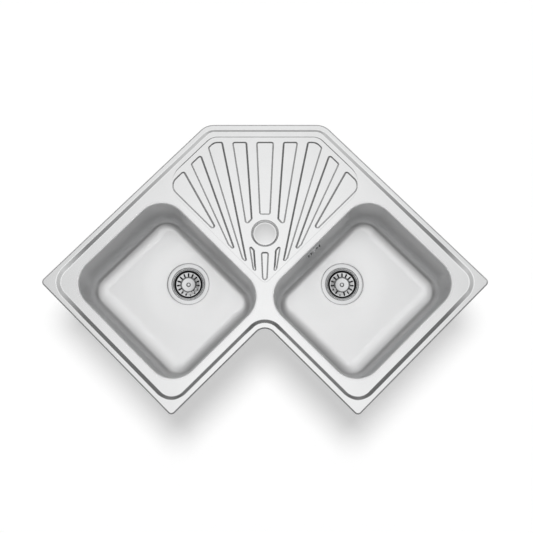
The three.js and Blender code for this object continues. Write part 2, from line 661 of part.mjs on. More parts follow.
function waste(side, withPort) {
  const seat = FLOOR - DISH_SEAT_DROP;
  const under = seat - SHEET - GAP;
  const upperGasket = ring(DISH_FLANGE_RADIUS - 1, WASTE_HOLE_RADIUS + 1, seat + GAP,
    seat + GAP + GASKET_THICKNESS);
  const lowerGasket = ring(DISH_FLANGE_RADIUS, BODY_CUP_RADIUS, under - LOWER_GASKET_THICKNESS,
    under);
  return [
    piece(`${side}_strainer_dish`, dish(), polishedSteel),
    piece(`${side}_dish_gasket`, solid(upperGasket), blackRubber),
    piece(`${side}_waste_gasket`, solid(lowerGasket), blackRubber),
    piece(`${side}_waste_body`, wasteBody(withPort), whitePlastic),
    piece(`${side}_clamp_screw`, clampScrew(), polishedSteel),
    piece(`${side}_basket`, basket(BASKET_TURN[side]), polishedSteel),
    piece(`${side}_basket_seal`, basketSeal(), blackRubber),
    piece(`${side}_basket_knob`, knob(), polishedSteel),
  ];
}

// ---------------------------------------------------------------- overflow

// In the overflow's own frame x points out of the wall into the bowl, y across and z up the wall.
const OVERFLOW_HEIGHT = TOP - OVERFLOW_DROP;
const WALL_FACE = -BOWL_LENGTH / 2 + wallInset(OVERFLOW_HEIGHT);
const toOverflowWall = geometry =>
  geometry.rotateY(-WALL_TILT).translate(WALL_FACE, OVERFLOW_SHIFT, OVERFLOW_HEIGHT);

function upright(width, height, radius, low, high) {
  const outline = rounded([
    at(-height / 2, -width / 2), at(height / 2, -width / 2), at(height / 2, width / 2),
    at(-height / 2, width / 2),
  ], [radius, radius, radius, radius], 3);
  return slab(outline, low, high).rotateY(Math.PI / 2);
}

const overflowOpening = () =>
  upright(OVERFLOW_OPENING.width, OVERFLOW_OPENING.height, 5, -SHEET - 2, 2);

function overflowPlate() {
  const { width, height, thickness, screwBar, barHeight } = OVERFLOW_PLATE;
  const face = GAP + thickness;
  const plate = joined(
    upright(width, height, height / 2 - 1, GAP, face),
    upright(screwBar, height - 3, 2, GAP, face + barHeight));
  const slots = OVERFLOW_SLOTS.places.map(place =>
    upright(OVERFLOW_SLOTS.width, OVERFLOW_SLOTS.height, 1.9, 0, face + 1).translate(0, place, 0));
  const screwHole = ring(OVERFLOW_SCREW_RADIUS + GAP, 0, 0, face + barHeight + 1, SCREW_STEPS)
    .rotateY(Math.PI / 2);
  return cut(plate, ...slots, screwHole);
}

function overflowScrew() {
  const face = GAP + OVERFLOW_PLATE.thickness + OVERFLOW_PLATE.barHeight + GAP;
  const end = -SHEET - OVERFLOW_GASKET_THICKNESS - OVERFLOW_HOUSING.depth + 6;
  const r = OVERFLOW_SCREW_RADIUS;
  return solid(turned([
    [0, end], [r, end], [r, face], [r + 2, face], [r + 1.4, face + 1.4], [0, face + 1.4],
  ], SCREW_STEPS).rotateY(Math.PI / 2));
}

function overflowGasket() {
  const { width, height } = OVERFLOW_HOUSING;
  const back = -SHEET - GAP;
  const opening = upright(OVERFLOW_OPENING.width, OVERFLOW_OPENING.height, 5,
    back - OVERFLOW_GASKET_THICKNESS - 1, back + 1);
  return cut(
    solid(upright(width, height, 6, back - OVERFLOW_GASKET_THICKNESS, back)), opening);
}

const HOUSING_FRONT = -SHEET - 2 * GAP - OVERFLOW_GASKET_THICKNESS;
const HOUSING_BACK = HOUSING_FRONT - OVERFLOW_HOUSING.depth;
const SPOUT_X = (HOUSING_FRONT + HOUSING_BACK) / 2;
const SPOUT_LOW = -OVERFLOW_HOUSING.height / 2 - SOCKET_LENGTH;

function overflowHousing() {
  const { width, height, wall } = OVERFLOW_HOUSING;
  const spout = ring(SOCKET_OUTER, 0, SPOUT_LOW, -height / 2 + 1, 16).translate(SPOUT_X, 0, 0);
  const bore = ring(SOCKET_BORE, 0, SPOUT_LOW - 1, 0, 16).translate(SPOUT_X, 0, 0);
  const pillar = ring(OVERFLOW_SCREW_RADIUS + 3, 0, HOUSING_BACK + 1, HOUSING_FRONT - 1, SCREW_STEPS)
    .rotateY(Math.PI / 2);
  const screwBore = ring(OVERFLOW_SCREW_RADIUS + GAP, 0, HOUSING_BACK + 4, HOUSING_FRONT + 1,
    SCREW_STEPS).rotateY(Math.PI / 2);
  const inside = upright(width - 2 * wall, height - 2 * wall, 5, HOUSING_BACK + wall,
    HOUSING_FRONT + 1);
  let body = joined(upright(width, height, 6, HOUSING_BACK, HOUSING_FRONT), spout);
  body = cut(body, inside, bore);
  return cut(body.add(solid(pillar)), screwBore);
}

// The rigid pipe from the overflow down to the right waste's side port, in the bowl's frame.
function overflowPath() {
  const tilt = new THREE.Vector3(SPOUT_X, 0, SPOUT_LOW).applyAxisAngle(
    new THREE.Vector3(0, 1, 0), -WALL_TILT);
  const spout = tilt.add(new THREE.Vector3(WALL_FACE, OVERFLOW_SHIFT, OVERFLOW_HEIGHT));
  const down = new THREE.Vector3(0, 0, -1).applyAxisAngle(new THREE.Vector3(0, 1, 0), -WALL_TILT);
  const portEnd = new THREE.Vector3(
    -WASTE_SHIFT - BODY_CUP_RADIUS - BODY_WALL - SOCKET_LENGTH, 0, PORT_HEIGHT);
  const straight = 16;
  return {
    start: spout.clone().addScaledVector(down, -PIPE_ENTRY),
    leave: spout.clone().addScaledVector(down, straight),
    bend: new THREE.Vector3(spout.x, spout.y / 2, PORT_HEIGHT),
    arrive: portEnd.clone().add(new THREE.Vector3(-straight, 0, 0)),
    end: portEnd.clone().add(new THREE.Vector3(PIPE_ENTRY, 0, 0)),
    spout,
    down,
    portEnd,
  };
}

function overflowPipe() {
  const { start, leave, bend, arrive, end } = overflowPath();
  const toBend = bend.clone().sub(leave).normalize();
  const fromBend = arrive.clone().sub(bend).normalize();
  const bendIn = bend.clone().addScaledVector(toBend, -PIPE_BEND_RADIUS);
  const bendOut = bend.clone().addScaledVector(fromBend, PIPE_BEND_RADIUS);
  const middle = leave.clone().lerp(bendIn, 0.5);
  const points = [start, leave, middle, bendIn];
  const turn = new THREE.QuadraticBezierCurve3(bendIn, bend, bendOut);
  for (let i = 1; i < 4; i++) points.push(turn.getPoint(i / 4));
  points.push(bendOut, arrive, end);
  const section = new THREE.Shape(circle(PIPE_RADIUS, 12));
  section.holes.push(new THREE.Path(circle(PIPE_RADIUS - PIPE_WALL, 12).reverse()));
  const path = new THREE.CatmullRomCurve3(points, false, 'centripetal');
  const geometry = new THREE.ExtrudeGeometry(
    section, { steps: PIPE_STEPS, bevelEnabled: false, extrudePath: path });
  return solid(geometry);
}

function pipeNut(point, direction) {
  const { radius, length } = PIPE_NUT;
  const nut = ring(radius, PIPE_RADIUS + 2 * GAP, GAP, GAP + length, SCREW_STEPS);
  const turn = new THREE.Quaternion().setFromUnitVectors(new THREE.Vector3(0, 0, 1), direction);
  nut.applyQuaternion(turn).translate(point.x, point.y, point.z);
  return solid(nut);
}

function overflow() {
  const { spout, down, portEnd } = overflowPath();
  const wall = new THREE.Group();
  wall.position.set(WALL_FACE, OVERFLOW_SHIFT, OVERFLOW_HEIGHT);
  wall.rotation.y = -WALL_TILT;
  wall.add(
    piece('overflow_plate', overflowPlate(), polishedSteel),
    piece('overflow_screw', overflowScrew(), polishedSteel),
    piece('overflow_gasket', overflowGasket(), blackRubber),
    piece('overflow_housing', overflowHousing(), whitePlastic));
  return [
    wall,
    piece('overflow_pipe', overflowPipe(), whitePlastic),
    piece('overflow_upper_nut', pipeNut(spout, down), whitePlastic),
    piece('overflow_lower_nut', pipeNut(portEnd, new THREE.Vector3(-1, 0, 0)), whitePlastic),
  ];
}

// ---------------------------------------------------------------- rim seal and clips

function rimSeal() {
  const high = RIM_HEIGHT - SHEET - GAP;
  return cut(
    solid(slab(rimOutline(SEAL_FROM_EDGE), 0, high)),
    slab(rimOutline(SEAL_FROM_EDGE + SEAL_WIDTH), -1, high + 1));
}

function clipHanger() {
  const x = CLIP_PLATE_FROM_EDGE;
  const half = CLIP_WIDTH / 2;
  const high = TOP_UNDERSIDE - GAP;
  const footEnd = CLIP_SCREW_FROM_EDGE - CLIP_FOOT_REACH;
  const hole = ring(CLIP_SCREW_RADIUS + GAP, 0, CLIP_FOOT_HEIGHT - 5, CLIP_FOOT_HEIGHT + 1, SCREW_STEPS);
  return cut(
    joined(
      box(x, x + CLIP_STEEL, -half, half, CLIP_FOOT_HEIGHT - CLIP_STEEL, high),
      box(x - 3, x + CLIP_STEEL, -half, half, high - CLIP_STEEL, high),
      box(footEnd, x + CLIP_STEEL, -half / 2, half / 2, CLIP_FOOT_HEIGHT - CLIP_STEEL,
        CLIP_FOOT_HEIGHT)),
    hole.translate(CLIP_SCREW_FROM_EDGE, 0, 0));
}

function clipScrew() {
  const r = CLIP_SCREW_RADIUS;
  const collar = CLIP_FOOT_HEIGHT + GAP;
  const end = CLIP_SCREW_END_HEIGHT;
  return solid(turned([
    [0, collar + 3], [0, end], [r + 2.2, end], [r + 2.2, end + 4], [r, end + 4], [r, collar],
    [r + 2, collar], [r + 2, collar + 3],
  ], SCREW_STEPS).translate(CLIP_SCREW_FROM_EDGE, 0, 0));
}

// Parked along the edge; a quarter turn swings it out under the worktop.
function clipClaw() {
  const high = CLAW_HEIGHT + CLAW_THICKNESS;
  const half = CLAW_HUB_RADIUS - 0.6;
  const hub = ring(CLAW_HUB_RADIUS, 0, CLAW_HEIGHT, high, SCREW_STEPS);
  const arm = box(-half, half, 0, CLAW_REACH, CLAW_HEIGHT, high);
  const tip = box(-half, half, CLAW_REACH - CLAW_TIP.thickness, CLAW_REACH, CLAW_HEIGHT,
    CLAW_HEIGHT + CLAW_TIP.height);
  const thread = ring(CLIP_SCREW_RADIUS + GAP, 0, CLAW_HEIGHT - 1, high + 1, SCREW_STEPS);
  return solid(geometryOf(cut(joined(hub, arm, tip), thread)).translate(CLIP_SCREW_FROM_EDGE, 0, 0));
}

// For each edge: a point on it, the way along it, and the turn that takes x to inwards.
const EDGES = {
  'right wall': { start: at(0, 0), along: at(1, 0), turn: -Math.PI / 2 },
  'left wall': { start: at(0, 0), along: at(0, -1), turn: 0 },
  'right tip': { start: at(ARM_LENGTH, 0), along: at(0, -1), turn: Math.PI },
  'left tip': { start: at(0, -ARM_LENGTH), along: at(1, 0), turn: Math.PI / 2 },
  'right front': { start: at(ARM_DEPTH, -ARM_DEPTH), along: at(1, 0), turn: Math.PI / 2 },
  'left front': { start: at(ARM_DEPTH, -ARM_DEPTH), along: at(0, -1), turn: Math.PI },
};

const CLIP_PLACES = [
  ['right wall', CORNER_CUT + CLIP_FROM_CORNER_CUT], ['right wall', ARM_LENGTH - CLIP_FROM_TIP],
  ['right tip', ARM_DEPTH / 2], ['right front', (ARM_LENGTH - ARM_DEPTH) / 2],
  ['left front', (ARM_LENGTH - ARM_DEPTH) / 2], ['left tip', ARM_DEPTH / 2],
  ['left wall', ARM_LENGTH - CLIP_FROM_TIP], ['left wall', CORNER_CUT + CLIP_FROM_CORNER_CUT],
];

function clip([edge, distance], index) {
  const { start, along, turn } = EDGES[edge];
  const place = start.clone().addScaledVector(along, distance);
  return placed(place.x, place.y, 0, turn, [
    piece(`clip_${index + 1}_hanger`, clipHanger(), zincSteel),
    piece(`clip_${index + 1}_screw`, clipScrew(), zincSteel),
    piece(`clip_${index + 1}_claw`, clipClaw(), zincSteel),
  ]);
}

// ---------------------------------------------------------------- assembly

function basin(side, withOverflow, x, y, turn) {
  const wasteGroup = placed(-WASTE_SHIFT, 0, 0, 0, waste(side, withOverflow));
  const pieces = [piece(`${side}_bowl`, bowl(withOverflow), satinSteel), wasteGroup];
  return placed(x, y, 0, turn, withOverflow ? [...pieces, ...overflow()] : pieces);
}

const cornerSink = placed(-ORIGIN, ORIGIN, 0, 0, [
  piece('deck', deck(), satinSteel),
  piece('rim_seal', rimSeal(), greyFoam),
  basin('right', true, BOWL_ALONG, -BOWL_ACROSS, 0),
  basin('left', false, BOWL_ACROSS, -BOWL_ALONG, -Math.PI / 2),
  ...CLIP_PLACES.map(clip),
]);
cornerSink.name = 'corner_kitchen_sink';

export default cornerSink;
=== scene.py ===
"""Looks of the corner kitchen sink: a pressed stainless steel top with two bowls and a fan-shaped
drainer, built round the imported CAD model. Lengths are in millimetres until a mesh is made."""
import json
import math

import bpy
import bmesh
import numpy as np
from mathutils import Matrix, Vector
from mathutils.geometry import delaunay_2d_cdt


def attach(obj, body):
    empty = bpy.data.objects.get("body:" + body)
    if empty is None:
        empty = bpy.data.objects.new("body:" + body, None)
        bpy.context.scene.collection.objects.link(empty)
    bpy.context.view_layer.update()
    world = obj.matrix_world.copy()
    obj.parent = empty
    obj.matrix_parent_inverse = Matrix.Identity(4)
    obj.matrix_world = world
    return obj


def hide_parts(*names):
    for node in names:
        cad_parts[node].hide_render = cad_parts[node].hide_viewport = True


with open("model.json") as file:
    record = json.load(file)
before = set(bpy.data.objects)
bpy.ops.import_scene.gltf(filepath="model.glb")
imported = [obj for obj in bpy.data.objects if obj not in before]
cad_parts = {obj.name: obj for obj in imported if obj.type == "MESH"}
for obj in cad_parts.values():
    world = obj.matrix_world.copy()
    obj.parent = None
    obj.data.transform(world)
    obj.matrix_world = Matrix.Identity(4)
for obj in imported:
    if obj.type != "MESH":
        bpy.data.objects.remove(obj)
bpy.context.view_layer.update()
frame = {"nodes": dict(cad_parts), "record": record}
NODES = frame["nodes"]
MM = 0.001
R2 = math.sqrt(2)

# ---- sizes, as in the CAD

SHEET = 0.8
BOWL_LENGTH, BOWL_WIDTH, BOWL_RADIUS = 345, 397, 72
BOWL_WEB, BOWL_TIP_MARGIN, BOWL_WALL_MARGIN, BOWL_FRONT_MARGIN = 45.1, 48, 50.3, 46
BOWL_DEPTH, BOWL_DRAFT, BOWL_FLOOR_RADIUS = 155, 10, 36
CORNER_CUT, TIP_RADIUS, CORNER_CUT_RADIUS, NOTCH_RADIUS = 223.7, 12, 49, 30
RIM_HEIGHT, RIM_EDGE_CLEARANCE, RIM_BAND, STEP_WIDTH, STEP_DROP = 6, 0.6, 14, 10, 4
STEP_TIP_RADIUS, STEP_CORNER_CUT_RADIUS = 50, 44
PANEL_DROP, PANEL_SLOPE_WIDTH = 1, 4
PANEL_WALL_MARGIN, PANEL_CORNER_MARGIN, PANEL_BOWL_MARGIN = 32.5, 32, 16
PANEL_RADII = (40, 62, 16, 62, 40)
FAN_WALL_MARGIN, FAN_CORNER_MARGIN, FAN_BOWL_MARGIN, FAN_RADIUS = 15, 14.5, 7.5, 36
CHANNEL_SLOPE_WIDTH, CHANNEL_END_RADIUS = 3.4, 5
TAP_SEAT_FROM_SIDES, TAP_SEAT_RADIUS, TAP_SEAT_FLOOR_RADIUS = 98.6, 36, 31
TAP_SEAT_DEPTH, TAP_SEAT_BORDER = 6, 16
FAN_RAYS = [((-22, -11), (22, 11)), ((50, 32), (86.5, 46)), ((115, 64), (155.7, 79.6)),
            ((184.5, 95.5), (224.2, 109.7)), ((261.3, 121.9), None)]
WASTE_SHIFT = 61.5
OVERFLOW_DROP, OVERFLOW_SHIFT = 32, -11
SEAL_MIDDLE = 1.4 + 11 / 2

TOP = RIM_HEIGHT - STEP_DROP
FLOOR = TOP - BOWL_DEPTH
BOWL_FRONT = BOWL_WALL_MARGIN + BOWL_WIDTH
BOWL_NEAR = BOWL_FRONT - 2 * BOWL_RADIUS + (BOWL_WEB + 2 * BOWL_RADIUS) / R2
ARM_DEPTH = BOWL_FRONT + BOWL_FRONT_MARGIN
ARM_LENGTH = BOWL_NEAR + BOWL_LENGTH + BOWL_TIP_MARGIN
BOWL_ALONG = BOWL_NEAR + BOWL_LENGTH / 2
BOWL_ACROSS = BOWL_WALL_MARGIN + BOWL_WIDTH / 2
PANEL_INNER = BOWL_NEAR - PANEL_BOWL_MARGIN
TAP_SEAT_FROM_EDGES = PANEL_INNER - TAP_SEAT_FROM_SIDES
ORIGIN = CORNER_CUT / 2 + SEAL_MIDDLE / R2
PANEL_NEAR = PANEL_WALL_MARGIN + PANEL_SLOPE_WIDTH / 2
PANEL_FAR = PANEL_INNER - PANEL_SLOPE_WIDTH / 2
FAN_NEAR = PANEL_NEAR + FAN_WALL_MARGIN
FAN_FAR = PANEL_FAR - FAN_BOWL_MARGIN
FAN_BACK = (CORNER_CUT / R2 + PANEL_CORNER_MARGIN + PANEL_SLOPE_WIDTH / 2 + FAN_CORNER_MARGIN)
TAP_LEVEL = TAP_SEAT_FROM_EDGES * R2
TAP_BORDER_RADIUS = TAP_SEAT_RADIUS + TAP_SEAT_BORDER

# ---- plane geometry


def vec(x, y):
    return np.array([x, y], float)


def unit(v):
    return v / np.linalg.norm(v)


def unit_rows(rows):
    return rows / np.linalg.norm(rows, axis=1)[:, None]


def raised(rows, z):
    """Rows (x, y, z) from rows (x, y)."""
    return np.column_stack([rows, np.broadcast_to(z, len(rows))])


def cross2(a, b):
    return a[0] * b[1] - a[1] * b[0]


class Outline:
    """A closed outline with rounded corners: points and the outward direction at each of them, so
    that it can be moved inwards without changing its number of points."""

    def __init__(self, points, outward):
        self.points, self.outward = np.array(points, float), np.array(outward, float)

    def at(self, distance):
        return self.points - self.outward * distance

    def mirrored(self):
        """The other arm's: (x, y) becomes (-y, -x)."""
        return Outline(-self.points[::-1, ::-1], -self.outward[::-1, ::-1])

    def moved(self, x, y):
        return Outline(self.points + vec(x, y), self.outward)

    def turned(self, angle):
        c, s = math.cos(angle), math.sin(angle)
        turn = np.array([[c, s], [-s, c]])
        return Outline(self.points @ turn, self.outward @ turn)


def rounded(corners, radii, spacing=10.0, arc=2.6, marks=None):
    """corners run anticlockwise; marks are more places on the straight after a corner, as distances
    from the middle of that straight."""
    n = len(corners)
    arcs = []
    for i, corner in enumerate(corners):
        before, after = corners[i - 1] - corner, corners[(i + 1) % n] - corner
        near = min(np.linalg.norm(before), np.linalg.norm(after))
        ub, ua = unit(before), unit(after)
        half = math.acos(np.clip(ub @ ua, -1, 1)) / 2
        radius = min(radii[i], 0.49 * near * math.tan(half))
        centre = corner + unit(ub + ua) * radius / math.sin(half)
        start, end = (corner + u * radius / math.tan(half) - centre for u in (ub, ua))
        first = math.atan2(start[1], start[0])
        sweep = (math.atan2(end[1], end[0]) - first + math.pi) % (2 * math.pi) - math.pi
        sign = 1 if cross2(-ub, ua) > 0 else -1
        steps = max(5, round(abs(sweep) * radius / arc), round(abs(sweep) / math.radians(9)))
        turn = [first + sweep * k / steps for k in range(steps + 1)]
        away = [vec(math.cos(a), math.sin(a)) for a in turn]
        arcs.append(([centre + radius * d for d in away], [sign * d for d in away]))
    points, outward = [], []
    for i in range(n):
        points += arcs[i][0]
        outward += arcs[i][1]
        a, b = arcs[i][0][-1], arcs[(i + 1) % n][0][0]
        length = np.linalg.norm(b - a)
        count = max(1, round(length / spacing))
        places = {round(k / count, 6) for k in range(1, count)}
        for mark in (marks or {}).get(i, []):
            middle = (corners[i] + corners[(i + 1) % n]) / 2
            places.add(round(float((middle + unit(b - a) * mark - a) @ unit(b - a)) / length, 6))
        for t in sorted(places):
            points.append(a + (b - a) * t)
            outward.append(arcs[i][1][-1])
    return Outline(points, outward)


def inset(corners, distance):
    n = len(corners)
    lines = []
    for i in range(n):
        along = unit(corners[(i + 1) % n] - corners[i])
        lines.append((corners[i] + distance * vec(-along[1], along[0]), along))
    result = []
    for i in range(n):
        (p, a), (q, b) = lines[i - 1], lines[i]
        result.append(p + a * cross2(q - p, b) / cross2(a, b))
    return result


def circle(radius, steps):
    turn = np.arange(steps) * 2 * np.pi / steps
    away = np.stack([np.cos(turn), np.sin(turn)], 1)
    return Outline(radius * away, away)


def inside(points, polygon):
    """Which of the points are inside the polygon."""
    x, y = points[:, 0], points[:, 1]
    result = np.zeros(len(points), bool)
    for (x0, y0), (x1, y1) in zip(polygon, np.roll(polygon, -1, 0)):
        if y0 != y1:
            result ^= ((y0 > y) != (y1 > y)) & (x < (x1 - x0) * (y - y0) / (y1 - y0) + x0)
    return result


SINK_CORNERS = [
    vec(0, -CORNER_CUT), vec(0, -ARM_LENGTH), vec(ARM_DEPTH, -ARM_LENGTH),
    vec(ARM_DEPTH, -ARM_DEPTH), vec(ARM_LENGTH, -ARM_DEPTH), vec(ARM_LENGTH, 0),
    vec(CORNER_CUT, 0)]


def rim_outline():
    tip, cut = TIP_RADIUS, CORNER_CUT_RADIUS
    return rounded(SINK_CORNERS, [cut, tip, tip, NOTCH_RADIUS, tip, tip, cut])


def step_outline():
    tip, cut = STEP_TIP_RADIUS, STEP_CORNER_CUT_RADIUS
    radii = [cut, tip, tip, NOTCH_RADIUS + RIM_BAND, tip, tip, cut]
    return rounded(inset(SINK_CORNERS, RIM_BAND), radii)


def panel_outline():
    near = PANEL_WALL_MARGIN
    cut = CORNER_CUT + PANEL_CORNER_MARGIN * R2 - near
    return rounded([vec(near, -cut), vec(near, -PANEL_INNER), vec(PANEL_INNER, -PANEL_INNER),
                    vec(PANEL_INNER, -near), vec(cut, -near)], PANEL_RADII)


def oblong(width, height, radius, spacing=6.0, arc=0.7, marks=None):
    x, y = width / 2, height / 2
    corners = [vec(-x, -y), vec(x, -y), vec(x, y), vec(-x, y)]
    return rounded(corners, [radius] * 4, spacing, arc, marks)


def bowl_outline(marks=None):
    return oblong(BOWL_LENGTH, BOWL_WIDTH, BOWL_RADIUS, 14, 5, marks)


# ---- the fan of channels


def from_fan(s, t):
    return vec((s + t) / R2, (s - t) / R2)


def clipped(corners, a, b):
    """The part of a convex outline on the left of the line from a to b."""
    result = []
    for i, here in enumerate(corners):
        there = corners[(i + 1) % len(corners)]
        h, t = cross2(b - a, here - a), cross2(b - a, there - a)
        if h >= 0:
            result.append(here)
        if h * t < 0:
            result.append(here + (there - here) * h / (h - t))
    return result


def channel_outline(inner, outer, beyond):
    near, far, back = FAN_NEAR, FAN_FAR, FAN_BACK * R2 - FAN_NEAR
    corners = [vec(near, -back), vec(near, -far), vec(far, -far), vec(far, -near),
               vec(back, -near)]

    def ray(distances):
        slope = (distances[0] - distances[1]) / (TAP_LEVEL - FAN_BACK)
        return [from_fan(distances[0] - slope * (t - FAN_BACK), t) for t in (0, 2 * TAP_LEVEL)]

    corners = clipped(corners, *ray(inner))
    if outer:
        corners = clipped(corners, *ray(outer)[::-1])
    middle = (inner[1] + outer[1]) / 2 if outer else TAP_BORDER_RADIUS
    if abs(middle) < TAP_BORDER_RADIUS:
        across = math.sqrt(TAP_BORDER_RADIUS ** 2 - middle ** 2)
        touch = vec(middle, across if beyond else -across)
        along = unit(vec(-touch[1], touch[0])) * FAN_FAR
        corners = clipped(corners, *(from_fan(p[0], TAP_LEVEL + p[1])
                                     for p in (touch - along, touch + along)))
    corners = [c for i, c in enumerate(corners)
               if np.linalg.norm(c - corners[(i + 1) % len(corners)]) > CHANNEL_SLOPE_WIDTH]
    radii = []
    for x, y in corners:
        on_near, on_far = min(x, -y) < FAN_NEAR + 1e-6, max(x, -y) > FAN_FAR - 1e-6
        on_back = (x - y) / R2 < FAN_BACK + 1e-6
        wide = on_near and (on_far or on_back)
        radii.append(FAN_RADIUS if wide else CHANNEL_END_RADIUS)
    return rounded(corners, radii, spacing=12, arc=1.6)


def channel_outlines():
    (inner, outer), *sides = FAN_RAYS
    result = [channel_outline(inner, outer, False), channel_outline(inner, outer, True)]
    for number, (inner, outer) in enumerate(sides):
        for beyond in (False, True) if number == 0 else (False,):
            one = channel_outline(inner, outer, beyond)
            result += [one, one.mirrored()]
    return result


# ---- mesh making


def ease(t):
    """Smoothly from 0 to 1."""
    t = np.clip(t, 0, 1)
    return t * t * (3 - 2 * t)


def smooth_drop(t, fillet):
    """A drop from 0 to 1 with a round shoulder and a round foot, and its steepness."""
    bend = fillet * (1 - fillet)
    if t < fillet:
        return t * t / (2 * bend), t / bend
    if t > 1 - fillet:
        return 1 - (1 - t) ** 2 / (2 * bend), (1 - t) / bend
    return (t - fillet / 2) / (1 - fillet), 1 / (1 - fillet)


def turned_by(place, rows):
    return rows @ np.array(place.to_3x3()).T


def new_object(name, data):
    obj = bpy.data.objects.new(name, data)
    bpy.context.scene.collection.objects.link(obj)
    return obj


def finish_mesh(name, vertices, faces, corner_normals, place):
    """vertices in millimetres, in the frame of the place within the corner's."""
    mesh = bpy.data.meshes.new(name)
    vertices = turned_by(place, vertices) + np.array(place.translation)
    vertices = (vertices + np.array([-ORIGIN, ORIGIN, 0])) * MM
    mesh.from_pydata(vertices.tolist(), [], [list(map(int, f)) for f in faces])
    mesh.polygons.foreach_set("use_smooth", [True] * len(mesh.polygons))
    mesh.normals_split_custom_set(turned_by(place, np.array(corner_normals)).tolist())
    return new_object(name, mesh)


class Skin:
    """A sheet metal skin: an upper face given by points and normals, its underside a sheet's
    thickness below, and strips that close its edges. Of its three materials, the second is a
    dark steel that paints shade on the edge, and the third is for the underside."""

    def __init__(self):
        self.points, self.normals, self.faces = [], [], []
        self.edge_faces = 0       # how many of the first faces get the second material

    def add(self, points, normals):
        first = sum(len(p) for p in self.points)
        self.points.append(np.asarray(points, float))
        self.normals.append(np.asarray(normals, float))
        return list(range(first, first + len(points)))

    def loop(self, outline, distance, z, slope):
        """One contour; slope is how steeply the face falls inwards, or None for a vertical one."""
        flat = outline.at(distance)
        if slope is None:
            normals = raised(outline.outward, 0)
        else:
            slope = np.broadcast_to(slope, len(flat))[:, None]
            normals = unit_rows(raised(-outline.outward * slope, 1))
        return self.add(raised(flat, z), normals)

    def band(self, outer, inner, left_open=()):
        """Faces between two loops with as many points, facing up when outer is outside."""
        for i in range(len(outer)):
            if i not in left_open:
                j = (i + 1) % len(outer)
                self.faces.append((outer[i], outer[j], inner[j], inner[i]))

    def plain(self, loops, extra, keep):
        """Triangles over the plane between the loops."""
        points, normals = np.concatenate(self.points), np.concatenate(self.normals)
        used = [i for loop in loops for i in loop] + list(extra)
        edges, count = [], 0
        for loop in loops:
            edges += [(count + i, count + (i + 1) % len(loop)) for i in range(len(loop))]
            count += len(loop)
        flat = [Vector(points[i, :2]) for i in used]
        out = delaunay_2d_cdt(flat, edges, [], 0, 1e-5, True)
        source = []
        for new, olds in enumerate(out[3]):
            if olds:
                source.append(used[olds[0]])
            else:       # where two contours cross
                crossing = np.array(out[0][new])
                near = int(np.argmin(np.linalg.norm(points[:, :2] - crossing, axis=1)))
                source += self.add([[*crossing, points[near, 2]]], [normals[near]])
        points = np.concatenate(self.points)
        faces = np.array(out[2])
        corners = points[np.array(source)[faces]][:, :, :2]
        middles = corners.mean(1)
        ab, ac = corners[:, 1] - corners[:, 0], corners[:, 2] - corners[:, 0]
        area = ab[:, 0] * ac[:, 1] - ab[:, 1] * ac[:, 0]
        chosen = keep(middles) & (np.abs(area) > 1e-9)
        for face, turn in zip(faces[chosen], area[chosen]):
            ids = [source[i] for i in face]
            self.faces.append(tuple(ids if turn > 0 else ids[::-1]))

    def build(self, name, place):
        points, normals = np.concatenate(self.points), np.concatenate(self.normals)
        count = len(points)
        both = np.concatenate([points, points - normals * SHEET])
        faces, corner_normals, edges = [], [], {}
        for face in self.faces:
            faces.append(face)
            corner_normals += [normals[i] for i in face]
            faces.append(tuple(i + count for i in reversed(face)))
            corner_normals += [-normals[i] for i in reversed(face)]
            edges.update(dict.fromkeys(zip(face, face[1:] + face[:1])))
        for a, b in [e for e in edges if e[::-1] not in edges]:
            strip = (b, a, a + count, b + count)
            faces.append(strip)
            p = both[list(strip)]
            flat = np.cross(p[1] - p[0], p[3] - p[0])
            size = np.linalg.norm(flat)
            corner_normals += [flat / size if size else normals[a]] * 4
        obj = finish_mesh(name, both, faces, corner_normals, place)
        for number, face in enumerate(obj.data.polygons):
            below = number >= 2 * len(self.faces) or number % 2
            face.material_index = 2 if below else int(number < 2 * self.edge_faces)
        return obj


# ---- pressed top

# the turned-down edge: distance inwards, depth below the rim's top, tilt in degrees
EDGE = [(0, 2.7, 90), (0.15, 2.1, 65), (0.5, 1.6, 50), (1.0, 1.15, 40), (1.7, 0.7, 31),
        (2.4, 0.34, 25), (3.0, 0.1, 14), (3.5, 0, 0)]
EDGE_ROUND = EDGE[-1][0]
EDGE_BANDS = 4         # how many bands of it get the dark steel that paints the edge's shade
STEP_START = -0.4      # from the outline of the step to the start of its shoulder
TOP_RISE, RISE_FROM, RISE_LENGTH = 2.0, 560, 370      # how much higher it is at the room's corner
FLANGE_OUT = 4.0       # the bowls' own skin begins this far outside their opening
CHANNEL_FALL = 2.1     # depth of the channels' round-edged floors
SEAT_DOME, SEAT_DOME_RADIUS, SEAT_LEAN = 0.8, 30, 0.078
ACROSS_FAN = vec(1, 1) / R2
TO_CORNER = vec(-1, 1) / R2


def rise(points):
    """The top falls a little from the room's corner to the bowls, so that it drains."""
    return TOP_RISE * ease((RISE_FROM + points @ TO_CORNER) / RISE_LENGTH)


def panel_depth(points):
    """The panel comes up almost level with the top beside the bowls."""
    along = np.maximum(points[:, 0], -points[:, 1])
    return PANEL_DROP * (1 - 0.8 * ease((along - PANEL_INNER + 80) / 70))


def panel_level(points):
    return TOP + rise(points) - panel_depth(points)


